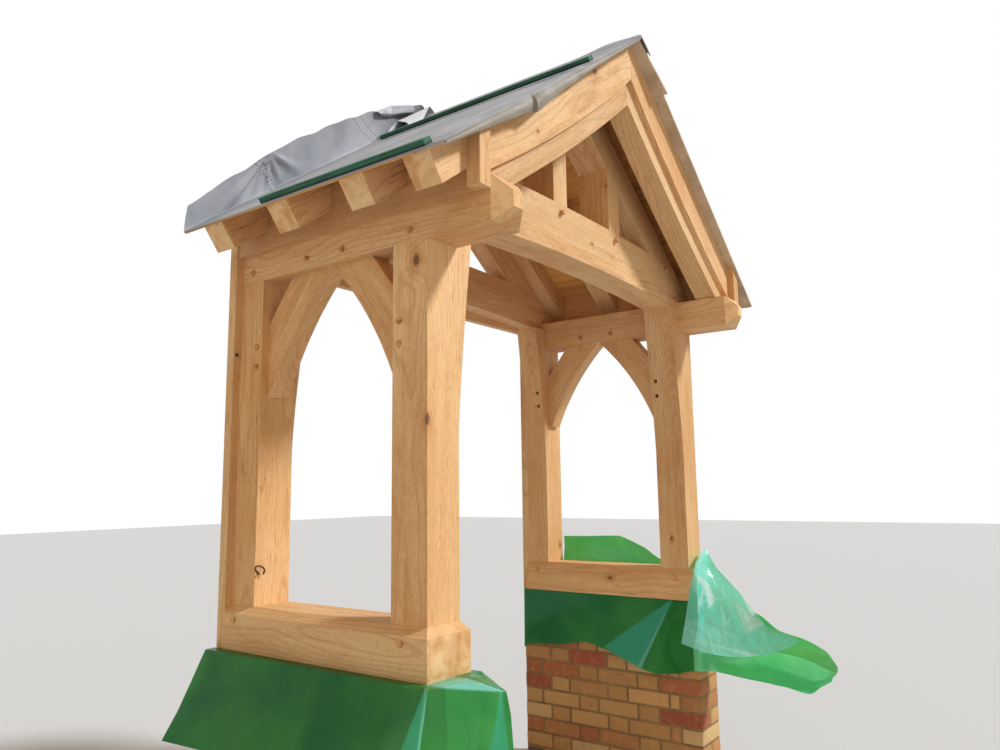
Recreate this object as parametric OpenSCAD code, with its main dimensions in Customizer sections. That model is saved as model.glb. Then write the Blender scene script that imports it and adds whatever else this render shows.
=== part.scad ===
// Oak porch canopy on two brick dwarf walls, fixed to the wall of a house.
// Millimetres. X runs across the porch, -Y is the open front, Z is up from the ground.
// The origin is on the ground, in the middle of the porch, in the plane of the house wall.

/* [Porch] */
// Width over the outer faces of the posts
frame_w = 2060; // [1800:10:2500]
// Depth from the front of the front posts to the house wall
frame_d = 975; // [900:5:1300]
// Height of the brick dwarf walls
wall_h = 900; // [600:75:1050]
// Height from the top of the sills to the underside of the eaves beams
post_h = 1177; // [1050:1:1500]
// Slope of the roof in degrees
pitch = 36; // [33:0.5:42]

/* [Dwarf walls] */
// Thickness of the dwarf walls
wall_t = 215; // [150:5:330]
// How far the walls stand outside the posts
wall_out = 70; // [40:5:120]

/* [Sills] */
// Height of the sill beams
sill_h = 150; // [100:5:200]
// How far the sills stand outside the posts
sill_out = 35; // [20:1:60]
// How far the sills stand inside the posts
sill_in = 15; // [5:1:40]
// How far the sills and walls run past the front of the posts
sill_front = 30; // [10:1:60]
// Drop of the weathered edges along the top of the sills
sill_drop = 25; // [10:1:40]

/* [Posts] */
// Width of the posts across the porch, below the flare
post_w = 150; // [120:1:200]
// Size of the front posts from front to back
front_post_d = 146; // [110:1:200]
// Size of the rear posts from front to back
rear_post_d = 125; // [100:1:160]
// How far the flared heads swell inwards
jowl_out = 83; // [50:1:100]
// Length of the flare, down from the underside of the ties
jowl_len = 740; // [400:10:900]

/* [Wall pads] */
// Thickness of the pads between the frame and the house wall
pad_t = 41; // [20:1:60]
// How far the upright pads stand outside the posts
pad_out = 30; // [10:1:50]
// Distance of the head pad's underside below the ties
pad_drop = 14; // [0:1:60]
// Height of the pad along the wall between their heads
head_pad_h = 140; // [80:5:200]

/* [Eaves beams] */
// Width of the eaves beams
beam_w = 145; // [110:1:150]
// Height of the eaves beams
beam_h = 147; // [110:1:200]
// How far the beams run out in front of the posts
beam_nose = 297; // [230:1:400]
// Size of the four-sided chamfer round the beam ends
nose_cut = 49; // [20:1:55]

/* [Ties] */
// Height of the ties over the posts
tie_h = 209; // [170:1:260]
// How far the ties are lapped down over the eaves beams
tie_lap = 30; // [10:1:50]
// Rise of the arched underside of the ties
tie_arch = 27; // [10:1:50]
// Rise of the cambered top of the ties
tie_camber = 20; // [5:1:40]
// Thickness of the rear tie and rear rafters of the truss
rear_truss_t = 100; // [80:1:120]

/* [Trusses] */
// Height of the rafters' underside over the beams, at their outer face
heel_h = 46; // [35:1:90]
// Depth of the principal rafters, square to the slope
principal_h = 146; // [110:1:170]
// Width of the queen struts
strut_w = 100; // [70:1:140]
// Distance of the queen struts from the middle of the porch
strut_x = 228; // [180:1:330]

/* [Roof] */
// Section of the common rafters
rafter_s = 100; // [70:1:125]
// Overhang of the rafters' lower corner past the posts
tail_out = 162; // [100:1:250]
// Distance of the gable face in front of the posts
verge_out = 200; // [150:1:225]
// Setback of the second rafter behind the front of the posts
truss_rafter_y = 65; // [10:1:100]
// Gap between the last rafter and the house wall
wall_rafter_gap = 115; // [80:1:160]
// Thickness of the boarding on the rafters
board_t = 18; // [12:1:25]
// Overhang of the boarding past the rafter ends
board_out = 4; // [2:1:25]
// Overhang of the verge strips past the barge boards
verge_lip = 40; // [20:1:60]
// Further overhang of the upper verge strips
verge_step = 14; // [0:1:20]
// Distance of the joint in the verge strips from the middle of the porch
verge_joint_x = 260; // [150:10:600]

/* [Gable] */
// Depth of the gable principals at their ends, square to the slope
gable_h = 116; // [90:1:140]
// Belly of the gable principals at mid length
gable_belly = 15; // [0:1:30]
// Thickness of the curved barge boards
barge_t = 20; // [15:1:30]
// Depth of the barge boards at their ends, square to the slope
barge_h = 130; // [100:1:180]
// Belly of the barge boards at mid length
barge_belly = 27; // [0:1:45]
// Front-to-back size of the stop blocks at the barge feet
stop_d = 50; // [30:1:60]
// Width of the stop blocks
stop_w = 53; // [40:1:80]
// How far the stop blocks hang below the top of the beams
stop_drop = 47; // [20:1:80]
// Thickness of the boards that close the eaves
infill_t = 25; // [18:1:35]
// How far the eaves boards lap down over the beams
infill_lap = 44; // [20:1:80]

/* [Braces] */
// Thickness of the braces
brace_t = 78; // [50:1:100]
// Gap between a front and a rear brace where they meet under the beam
brace_gap = 13; // [4:1:80]
// Inner reach of the braces down the posts
brace_drop = 436; // [350:1:520]
// Outer reach of the braces along the beams
brace_back_reach = 128; // [80:1:160]
// Outer reach of the braces down the posts
brace_back_drop = 160; // [100:1:200]
// Square toe at the lower end of the braces
brace_toe = 21; // [10:1:35]
// Bow of the braces' curved edge
brace_bow = 29; // [10:1:45]

/* [Joints] */
// Thickness of the tenons
tenon_t = 38; // [25:1:50]
// Depth of the mortises in posts, beams and sills
mortise_h = 62; // [40:1:80]
// Clearance left beyond the end of a tenon
tenon_gap = 2; // [1:0.5:4]
// Clearance each side of a tenon in its mortise
tenon_slack = 0.5; // [0.2:0.1:1]
// Shoulder left at the edges of a tenon
shoulder = 22; // [15:1:30]
// Diameter of the oak pegs
peg_d = 20; // [14:1:24]
// Length of the pegs left proud of the timber
peg_proud = 7; // [3:1:15]
// Distance of the pegs from the shoulder of a joint
peg_set = 38; // [25:1:45]
// Depth of the sill pegs below the top of the sills
sill_peg_drop = 45; // [35:1:60]
// Distance of the brace pegs from the inner edges of the posts
brace_peg_in = 28; // [24:1:40]
// Distance of the brace pegs along the beams from the posts
brace_peg_out = 240; // [200:1:280]
// Drop of the upper brace peg below the brace's shoulder
brace_peg_drop = 90; // [60:1:110]
// Spacing of the two pegs in a brace's foot
brace_peg_gap = 74; // [40:1:90]
// Clearance round a peg in its hole
peg_slack = 0.2; // [0.1:0.05:0.4]

/* [Covers] */
// Thickness of the roof membrane
felt_t = 3; // [2:0.5:5]
// Overlap of the membrane down the gable face
felt_drop = 45; // [20:1:60]
// Overlap of the membrane down the ends of the rafters
felt_lip = 12; // [5:1:40]
// Height of the membrane's turned edge at the house wall
felt_upstand = 170; // [50:5:200]
// Thickness of the roof battens
batten_t = 19; // [19:1:38]
// Width of the roof battens
batten_w = 38; // [38:1:50]
// Distance of the upper batten from the middle of the porch
upper_batten_x = 330; // [200:10:600]
// Gap between the upper batten and the house wall
upper_batten_gap = 105; // [50:5:300]
// Gap between the lower batten and the house wall
lower_batten_gap = 215; // [50:5:300]
// Setback of the lower batten behind the gable
lower_batten_set = 130; // [50:5:300]
// Thickness allowed for the loose plastic sheets
sheet_t = 4; // [2:0.5:8]
// Drop of the right sheet below its sill
sheet_drop = 350; // [200:10:450]
// Drop of the left sheet below its sill
sheet_hem = 260; // [200:10:450]
// Outward swing of the left sheet's hem
sheet_flare = 145; // [50:5:200]
// How far the sheets stand out in front of the walls
sheet_front = 110; // [50:5:150]
// Length of the tongue of the right sheet in front of the wall
sheet_tongue = 620; // [400:10:700]
// Rise of the right sheet's lifted edge above the sill
sheet_lift = 130; // [50:5:200]

/* [Hidden] */

$fn = 32;
left = -1;
right = 1;
curve_steps = 12;

// Across the porch, measured from its middle
half_w = frame_w / 2;
post_in_x = half_w - post_w;
beam_in_x = half_w - beam_w;
beam_mid_x = half_w - beam_w / 2;
jowl_tip_x = post_in_x - jowl_out;
tail_x = half_w + tail_out;

// From front to back, measured from the house wall
front_y = -frame_d;
front_post_back_y = front_y + front_post_d;
pad_y = -pad_t;
rear_post_y = pad_y - rear_post_d;
rear_truss_y = pad_y - rear_truss_t;
gable_y = front_y - verge_out;
barge_y = gable_y - barge_t;
last_rafter_y = -wall_rafter_gap - rafter_s;
mid_rafter_y = (front_y + truss_rafter_y + last_rafter_y) / 2;
rafter_ys = [front_y + truss_rafter_y, mid_rafter_y, last_rafter_y];
verge_y = barge_y - verge_lip;
boards_y = gable_y + rafter_s / 2;
brace_reach = (rear_post_y - front_post_back_y - brace_gap) / 2;
wall_front_y = front_y - sill_front;

// Heights above the ground
sill_z = wall_h + sill_h;
beam_z = sill_z + post_h;
beam_top_z = beam_z + beam_h;
tie_z = beam_top_z - tie_lap;
tie_top_z = tie_z + tie_h;
pad_top_z = tie_z - pad_drop;

// The roof planes: heights at the middle of the porch, and how they fall
fall = tan(pitch);
under_z = beam_top_z + heel_h + fall * half_w;
rafter_top_z = under_z + rafter_s / cos(pitch);
board_top_z = rafter_top_z + board_t / cos(pitch);
principal_low_z = under_z - principal_h / cos(pitch);
board_x = tail_x + rafter_s * sin(pitch) + board_out * cos(pitch);
tie_corner_x = (under_z - tie_top_z) / fall;
outer_x = half_w + wall_out;
inner_x = outer_x - wall_t;

// Feet of the principal rafters: blunt end, place of the peg, reach of the tenon on each side of it
heel_nib = 6;
foot_peg_x = tie_corner_x - 93;
foot_tenon_in = 65;
foot_tenon_out = 45;

brown = [0.72, 0.52, 0.31];
cream = [0.80, 0.62, 0.40];
red = [0.62, 0.34, 0.22];
green = [0.05, 0.45, 0.25];
gray = [0.52, 0.53, 0.55];

// Clearance between the covers and what they lie on, and round the notched boards
tooth = 0.3;
notch_slack = 1;

// Height of a roof plane at a distance from the middle
function at(plane_z, x) = plane_z - fall * x;

// A number between two ends
function mix(a, b, t) = a + (b - a) * t;

// A bow that is nothing at both ends and full in the middle
function bow(t) = 4 * t * (1 - t);

// Points of a line from a to b, pushed sideways into a bow of the given depth
function bowed(a, b, depth, steps = curve_steps) =
    let (length = norm(b - a), side = [b[1] - a[1], a[0] - b[0]] / length)
    [for (i = [0 : steps]) a + (b - a) * i / steps + side * depth * bow(i / steps)];

module on_side(side) {
    if (side == left)
        mirror([1, 0, 0]) children();
    else
        children();
}

// Extrudes a shape drawn in X and Z from one distance back to another
module along_y(y0, y1) {
    translate([0, y1, 0]) rotate([90, 0, 0]) linear_extrude(y1 - y0) children();
}

// Extrudes a shape drawn in Y and Z from one place across to another
module along_x(x0, x1) {
    translate([x0, 0, 0]) rotate([90, 0, 90]) linear_extrude(x1 - x0) children();
}

module block(x0, x1, y0, y1, z0, z1) {
    translate([x0, y0, z0]) cube([x1 - x0, y1 - y0, z1 - z0]);
}

// A peg, or its hole, along X through a joint
module cross_peg(x0, x1, y, z, slack = 0) {
    translate([x0, y, z]) rotate([0, 90, 0]) cylinder(h = x1 - x0, d = peg_d + 2 * slack);
}

// A peg, or its hole, along Y through a joint
module deep_peg(x, y0, y1, z, slack = 0) {
    translate([x, y1, z]) rotate([90, 0, 0]) cylinder(h = y1 - y0, d = peg_d + 2 * slack);
}

// Tenon along the frame's depth, with grow as the clearance round it
module depth_tenon(y0, y1, z0, z1, grow = 0) {
    block(beam_mid_x - tenon_t / 2 - grow, beam_mid_x + tenon_t / 2 + grow,
        y0 + shoulder - grow, y1 - shoulder + grow, z0, z1);
}

// Where the pegs stand in the posts' foot and head joints
function post_mid_y(front) = front
    ? front_y + front_post_d / 2
    : rear_post_y + rear_post_d / 2;

brace_peg_z = beam_z - brace_back_drop - brace_peg_drop;
brace_peg_zs = [brace_peg_z, brace_peg_z - brace_peg_gap];
function brace_pegs_y(front) = front
    ? [front_post_back_y - brace_peg_in, front_post_back_y + brace_peg_out]
    : [rear_post_y + brace_peg_in, rear_post_y - brace_peg_out];

// One brace peg in the beam, two in the post
module brace_pegs(front, x0, x1, slack = 0) {
    ys = brace_pegs_y(front);
    for (z = brace_peg_zs)
        cross_peg(x0, x1, ys[0], z, slack);
    cross_peg(x0, x1, ys[1], beam_z + peg_set, slack);
}

module post_pegs(front, x0, x1, slack = 0) {
    y = post_mid_y(front);
    cross_peg(x0, x1 + sill_out, y, sill_z - sill_peg_drop, slack);
    cross_peg(x0, x1, y, beam_z + peg_set, slack);
}

// Dwarf wall under one sill, up to the house wall
module dwarf_wall(side) {
    color(red) on_side(side)
        block(inner_x, outer_x, wall_front_y, 0, 0, wall_h);
}

// Sill beam with weathered edges, mortised for both posts
module sill(side) {
    x0 = post_in_x - sill_in;
    x1 = half_w + sill_out;
    y0 = wall_front_y;
    color(brown) on_side(side) difference() {
        intersection() {
            along_y(y0, pad_y) polygon([
                [x0, wall_h], [x1, wall_h], [x1, sill_z - sill_drop], [half_w, sill_z],
                [post_in_x, sill_z], [x0, sill_z - sill_drop]
            ]);
            along_x(x0, x1) polygon([
                [y0, wall_h], [pad_y, wall_h], [pad_y, sill_z], [front_y, sill_z],
                [y0, sill_z - sill_drop]
            ]);
        }
        depth_tenon(front_y, front_post_back_y, sill_z - mortise_h, sill_z + 1, tenon_slack);
        depth_tenon(rear_post_y, pad_y, sill_z - mortise_h, sill_z + 1, tenon_slack);
        post_pegs(true, x0 - 1, x1, peg_slack);
        post_pegs(false, x0 - 1, x1, peg_slack);
    }
}

// Outline of a post seen from the front: straight below, swelling inwards to carry the tie
function jowl_outline() = concat(
    [[post_in_x, sill_z], [half_w, sill_z], [half_w, beam_z], [beam_in_x, beam_z], [beam_in_x, tie_z]],
    [for (i = [curve_steps : -1 : 0])
        [post_in_x - jowl_out * pow(i / curve_steps, 1.3), tie_z - jowl_len * (1 - i / curve_steps)]]
);

// Square tenon on the swelling of the post's head, up into the tie
module head_tenon(y0, y1, grow = 0) {
    mid_y = (y0 + y1) / 2;
    block(jowl_tip_x + shoulder - grow, beam_in_x - grow / 2, mid_y - tenon_t / 2 - grow,
        mid_y + tenon_t / 2 + grow, tie_z - 1, tie_z + mortise_h - (grow > 0 ? 0 : tenon_gap));
}

module post(side, front) {
    y0 = front ? front_y : rear_post_y;
    y1 = front ? front_post_back_y : pad_y;
    tie_y0 = front ? front_y : rear_truss_y;
    color(cream) on_side(side) difference() {
        union() {
            along_y(y0, y1) polygon(jowl_outline());
            depth_tenon(y0, y1, sill_z - mortise_h + tenon_gap, sill_z + 1);
            depth_tenon(y0, y1, beam_z - 1, beam_z + mortise_h - tenon_gap);
            head_tenon(tie_y0, y1);
        }
        brace_mortise(front);
        post_pegs(front, post_in_x - sill_in - 1, half_w + 1, peg_slack);
        brace_pegs(front, post_in_x - jowl_out, half_w + 1, peg_slack);
        head_peg(front, peg_slack);
    }
}

// Pad that stands between a rear post and the house wall
module wall_pad(side) {
    color(cream) on_side(side)
        block(post_in_x, half_w + pad_out, pad_y, 0, wall_h, pad_top_z);
}

// Pad along the house wall behind the rear tie
module wall_pad_head() {
    color(cream)
        block(-half_w - pad_out, half_w + pad_out, pad_y, 0, pad_top_z, pad_top_z + head_pad_h);
}

// Eaves beam: housed for both ties, with a chamfered end out in front
module eaves_beam(side) {
    y0 = front_y - beam_nose;
    color(brown) on_side(side) difference() {
        intersection() {
            translate([0, 0, beam_z]) linear_extrude(beam_h) polygon([
                [beam_in_x + nose_cut, y0], [half_w - nose_cut, y0], [half_w, y0 + nose_cut],
                [half_w, pad_y], [beam_in_x, pad_y], [beam_in_x, y0 + nose_cut]
            ]);
            along_x(beam_in_x, half_w) polygon([
                [y0, beam_z + nose_cut], [y0 + nose_cut, beam_z], [pad_y, beam_z],
                [pad_y, beam_top_z], [y0 + nose_cut, beam_top_z], [y0, beam_top_z - nose_cut]
            ]);
        }
        block(beam_in_x - 1, half_w + 1, front_y, front_post_back_y, tie_z, beam_top_z + 1);
        block(beam_in_x - 1, half_w + 1, rear_truss_y, pad_y + 1, tie_z, beam_top_z + 1);
        depth_tenon(front_y, front_post_back_y, beam_z - 1, beam_z + mortise_h, tenon_slack);
        depth_tenon(rear_post_y, pad_y, beam_z - 1, beam_z + mortise_h, tenon_slack);
        brace_mortise(true);
        brace_mortise(false);
        for (front = [true, false]) {
            post_pegs(front, beam_in_x - 1, half_w + 1, peg_slack);
            brace_pegs(front, beam_in_x - 1, half_w + 1, peg_slack);
        }
    }
}

// Cambered top of a tie, from right to left
function tie_top_points() = [
    for (i = [curve_steps : -1 : -curve_steps])
        [tie_corner_x * i / curve_steps, tie_top_z + tie_camber * (1 - pow(i / curve_steps, 2))]
];

// Outline of a tie seen from the front: arched below, cambered above, ends cut to the roof
module tie_outline() {
    x_arch = jowl_tip_x;
    soffit = [for (i = [-curve_steps : curve_steps])
        [x_arch * i / curve_steps, tie_z + tie_arch * (1 - pow(i / curve_steps, 2))]];
    heel_z = at(under_z, half_w);
    polygon(concat(
        [[-half_w, heel_z], [-half_w, tie_z]], soffit,
        [[half_w, tie_z], [half_w, heel_z]], tie_top_points()
    ));
}

// Pegs of the queen struts' feet, through a tie
module strut_pegs(y0, y1, slack = 0) {
    for (side = [left, right])
        deep_peg(side * strut_x, y0, y1, tie_top_z + tie_camber - peg_set, slack);
}

// Pegs through the ties and the heads of the posts
module head_peg(front, slack = 0) {
    y0 = front ? front_y : rear_truss_y;
    y1 = front ? front_post_back_y : pad_y;
    proud = slack > 0 ? 1 : peg_proud;
    deep_peg((jowl_tip_x + shoulder + beam_in_x) / 2, y0 - proud, y1, tie_z + peg_set, slack);
}

// Pegs through the ties and the feet of the principal rafters
module foot_peg(front, slack = 0) {
    y0 = front ? front_y : rear_truss_y;
    y1 = front ? front_post_back_y : pad_y;
    proud = slack > 0 ? 1 : peg_proud;
    deep_peg(foot_peg_x, y0 - proud, y1, tie_top_z - peg_set + 4, slack);
}

module tie(front) {
    y0 = front ? front_y : rear_truss_y;
    y1 = front ? front_post_back_y : pad_y;
    color(cream) difference() {
        along_y(y0, y1) tie_outline();
        for (side = [left, right]) on_side(side) {
            head_tenon(front ? front_y : rear_truss_y, y1, tenon_slack);
            foot_tenon(y0, y1, tenon_slack);
            if (front)
                strut_tenons(tenon_slack);
            head_peg(front, peg_slack);
            foot_peg(front, peg_slack);
        }
        if (front)
            strut_pegs(y0 - 1, y1 + 1, peg_slack);
    }
}

// Tenon at the foot of a principal rafter, down into the tie
module foot_tenon(y0, y1, grow = 0) {
    mid_y = (y0 + y1) / 2;
    low_z = tie_top_z - mortise_h + (grow > 0 ? 0 : tenon_gap);
    block(foot_peg_x - foot_tenon_in - grow, foot_peg_x + foot_tenon_out + grow,
        mid_y - tenon_t / 2 - grow, mid_y + tenon_t / 2 + grow, low_z, tie_top_z + tie_camber);
}

// Slope-cut strip of timber between two roof planes, from the middle out to x_end
module slope_strip(top_z, low_z, x_end) {
    polygon([[0, at(low_z, 0)], [x_end, at(low_z, x_end)], [x_end, at(top_z, x_end)], [0, at(top_z, 0)]]);
}

// Everything above the cambered top of a tie
module above_tie() {
    polygon(concat(tie_top_points(), [[-tie_corner_x, under_z + frame_w], [tie_corner_x, under_z + frame_w]]));
}

// Principal rafter, seated on the camber of the tie, with a bridle joint at the apex
module principal(side, front) {
    y0 = front ? front_y : rear_truss_y;
    y1 = front ? front_post_back_y : pad_y;
    mid_y = (y0 + y1) / 2;
    color(brown) on_side(side) difference() {
        union() {
            along_y(y0, y1) intersection() {
                slope_strip(under_z, principal_low_z, tie_corner_x - heel_nib);
                above_tie();
            }
            foot_tenon(y0, y1);
            if (side == left)
                bridle(mid_y);
        }
        if (side == right)
            mirror([1, 0, 0]) bridle(mid_y, tenon_slack);
        if (front)
            strut_tenons(tenon_slack);
        foot_peg(front, peg_slack);
    }
}

// Tongue of the left principal that passes the apex into the right one
module bridle(mid_y, grow = 0) {
    reach = mortise_h + grow;
    root = shoulder / 2;
    along_y(mid_y - tenon_t / 2 - grow, mid_y + tenon_t / 2 + grow) polygon([
        [root, at(principal_low_z, root) + shoulder], [root, at(under_z, root) - shoulder],
        [0, under_z - shoulder + grow], [-reach, at(under_z, reach) - shoulder + grow],
        [-reach, at(principal_low_z, reach) + shoulder - grow], [0, principal_low_z + shoulder - grow]
    ]);
}

// Tenons at both ends of a queen strut
module strut_tenons(grow = 0) {
    mid_y = front_y + front_post_d / 2;
    x0 = strut_x - strut_w / 2 + shoulder;
    x1 = strut_x + strut_w / 2 - shoulder;
    end_gap = grow > 0 ? 0 : tenon_gap;
    block(x0 - grow, x1 + grow, mid_y - tenon_t / 2 - grow, mid_y + tenon_t / 2 + grow,
        tie_top_z - mortise_h + end_gap, at(principal_low_z, strut_x) + mortise_h - end_gap);
}

// Queen strut between the tie and a principal rafter, flush with both
module queen_strut(side) {
    x0 = strut_x - strut_w / 2;
    x1 = strut_x + strut_w / 2;
    color(cream) on_side(side) difference() {
        union() {
            along_y(front_y, front_post_back_y) intersection() {
                polygon([
                    [x0, tie_z], [x1, tie_z],
                    [x1, at(principal_low_z, x1)], [x0, at(principal_low_z, x0)]
                ]);
                above_tie();
            }
            strut_tenons();
        }
        strut_pegs(front_y - 1, front_post_back_y + 1, peg_slack);
    }
}

// Outline of a brace from the corner of post and beam: y along the beam, z down the post
function brace_outline() = concat(
    [[0, -brace_drop], [0, -brace_back_drop], [brace_back_reach, 0], [brace_reach, 0]],
    bowed([brace_reach, 0], [brace_toe, -brace_drop], brace_bow)
);

// Turns the outline's corner into place against a front or rear post
module at_brace_corner(front) {
    translate([0, front ? front_post_back_y : rear_post_y, beam_z])
        mirror([0, front ? 0 : 1, 0])
            children();
}

module brace_tenons(grow = 0) {
    end_gap = grow > 0 ? 0 : tenon_gap;
    reach = mortise_h - end_gap;
    along_x(beam_mid_x - tenon_t / 2 - grow, beam_mid_x + tenon_t / 2 + grow) union() {
        translate([brace_back_reach - grow, -1])
            square([brace_reach - brace_back_reach - shoulder + 2 * grow, reach + 1]);
        translate([-reach, -brace_drop + shoulder - grow])
            square([reach + 1, brace_drop - brace_back_drop - shoulder + 2 * grow]);
    }
}

module brace_mortise(front) {
    at_brace_corner(front) brace_tenons(tenon_slack);
}

// Curved brace with a pegged tenon into the post and another into the beam
module brace(side, front) {
    color(brown) on_side(side) difference() {
        at_brace_corner(front) union() {
            along_x(beam_mid_x - brace_t / 2, beam_mid_x + brace_t / 2) polygon(brace_outline());
            brace_tenons();
        }
        brace_pegs(front, beam_in_x, half_w, peg_slack);
    }
}

// Common rafter with a plumb cut at the apex and a square-cut tail
module rafter(y) {
    tail_top = [tail_x + rafter_s * sin(pitch), at(under_z, tail_x) + rafter_s * cos(pitch)];
    along_y(y, y + rafter_s) polygon([
        [0, under_z], [tail_x, at(under_z, tail_x)], tail_top, [0, rafter_top_z]
    ]);
}

module gable_rafter(side) {
    color(cream) on_side(side) rafter(gable_y);
}

module rafters(side) {
    color(cream) on_side(side)
        for (y = rafter_ys)
            rafter(y);
}

// Gable principal: its back under the gable rafter, its foot on the beam, its belly bowed
module gable_principal(side) {
    low_z = under_z - gable_h / cos(pitch);
    foot_x = (low_z - beam_top_z) / fall;
    color(cream) on_side(side) along_y(gable_y, gable_y + rafter_s) polygon(concat(
        [[0, under_z]], bowed([0, low_z], [foot_x, beam_top_z], gable_belly),
        [[half_w, beam_top_z], [half_w, at(under_z, half_w)]]
    ));
}

// Curved barge board in front of the gable, ending against its stop block
module barge_board(side) {
    low_z = rafter_top_z - barge_h / cos(pitch);
    color(brown) on_side(side) along_y(barge_y, gable_y) polygon(concat(
        [[half_w, at(rafter_top_z, half_w)], [0, rafter_top_z]],
        bowed([0, low_z], [half_w, at(low_z, half_w)], barge_belly)
    ));
}

// Stop block outside the end of the eaves beam, cut to the roof above
module stop_block(side) {
    x1 = half_w + stop_w;
    foot_z = beam_top_z - stop_drop;
    color(cream) on_side(side) along_y(gable_y - stop_d, gable_y) polygon([
        [half_w, foot_z], [x1, foot_z], [x1, at(rafter_top_z, x1)], [half_w, at(rafter_top_z, half_w)]
    ]);
}

// Board that closes the eaves, notched round the rafters that bear on it
module eaves_board(side) {
    x1 = half_w + infill_t;
    color(brown) on_side(side) difference() {
        along_y(gable_y, pad_y) polygon([
            [half_w, beam_top_z - infill_lap], [x1, beam_top_z - infill_lap],
            [x1, at(rafter_top_z, x1)], [half_w, at(rafter_top_z, half_w)]
        ]);
        for (y = concat([gable_y - notch_slack], rafter_ys))
            along_y(y - notch_slack, y + rafter_s + notch_slack)
                polygon([
                    [half_w - 1, at(under_z, half_w - 1)], [x1 + 1, at(under_z, x1 + 1)],
                    [x1 + 1, rafter_top_z], [half_w - 1, rafter_top_z]
                ]);
    }
}

module slope_slab(z, t, x1) {
    rise = t / cos(pitch);
    polygon([[0, z], [x1, at(z, x1)], [x1, at(z, x1)] + t * [sin(pitch), cos(pitch)], [0, z + rise]]);
}

// Boarding on one slope, with two strips of board up the verge that overhang the barge board
module boarding(side) {
    color(cream) on_side(side) {
        along_y(boards_y, 0) slope_slab(rafter_top_z, board_t, board_x);
        along_y(verge_y, boards_y) slope_slab(rafter_top_z, board_t, board_x);
        along_y(verge_y - verge_step, boards_y) slope_slab(rafter_top_z, board_t, verge_joint_x);
    }
}

// Membrane on one slope: turned up at the house wall, lapped over the eaves and down the left verge
module membrane(side) {
    front_edge_y = verge_y - verge_step - (side == left ? tooth + felt_t : 0);
    edge_x = board_x + board_t * sin(pitch);
    edge_z = at(board_top_z, board_x);
    lip_z = at(rafter_top_z, edge_x) - felt_lip;
    color(gray) on_side(side) {
        along_y(front_edge_y, 0) slope_slab(board_top_z, felt_t, board_x);
        if (side == left)
            along_y(front_edge_y, front_edge_y + felt_t) polygon([
                [0, board_top_z + tooth], [board_x, edge_z + tooth],
                [board_x, edge_z - felt_drop], [0, board_top_z - felt_drop]
            ]);
        along_y(-felt_t, 0) polygon([
            [0, board_top_z], [board_x, edge_z],
            [board_x, edge_z + felt_upstand], [0, board_top_z + felt_upstand]
        ]);
        along_y(front_edge_y, 0) polygon([
            [edge_x + tooth, lip_z], [edge_x + tooth + felt_t, lip_z],
            [edge_x + tooth + felt_t, lip_z + felt_lip + board_t], [board_x, edge_z + felt_t],
            [board_x, edge_z], [edge_x + tooth, lip_z + felt_lip + board_t - felt_t]
        ]);
    }
}

// One batten along the roof, its upper edge at x, on the membrane
module roof_batten(x, y0, y1) {
    felt_top_z = board_top_z + felt_t / cos(pitch);
    translate([x, y0, at(felt_top_z, x)]) rotate([0, pitch, 0]) translate([0, 0, tooth])
        cube([batten_w, y1 - y0, batten_t]);
}

// Two battens along the left slope that hold the membrane
module battens() {
    color(green) on_side(left) {
        roof_batten(upper_batten_x, verge_y, -upper_batten_gap);
        roof_batten(board_x - batten_w * cos(pitch), gable_y + lower_batten_set, -lower_batten_gap);
    }
}

// Outline of a sheet's section along a line of points, its thickness towards +X or +Y
function sheet_section(points) = concat(
    points, [for (i = [len(points) - 1 : -1 : 0]) points[i] + [sheet_t, 0]]
);

// Loose sheet over the left dwarf wall: swung out along its side and over its front end
module sheet_left() {
    hem_z = wall_h - sheet_hem;
    color(green) on_side(left) {
        along_y(wall_front_y - sheet_front / 2, -tooth)
            polygon(sheet_section([
                [outer_x + tooth, wall_h - tooth], [outer_x + sheet_flare / 2, wall_h - sheet_hem / 2],
                [outer_x + sheet_flare, hem_z]
            ]));
        along_x(inner_x - sheet_front / 2, outer_x + sheet_flare / 2)
            polygon(sheet_section([
                [wall_front_y - sheet_t - tooth, wall_h], [wall_front_y - sheet_front, wall_h - sheet_hem / 5],
                [wall_front_y - sheet_front * 1.3, hem_z]
            ]));
    }
}

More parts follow.
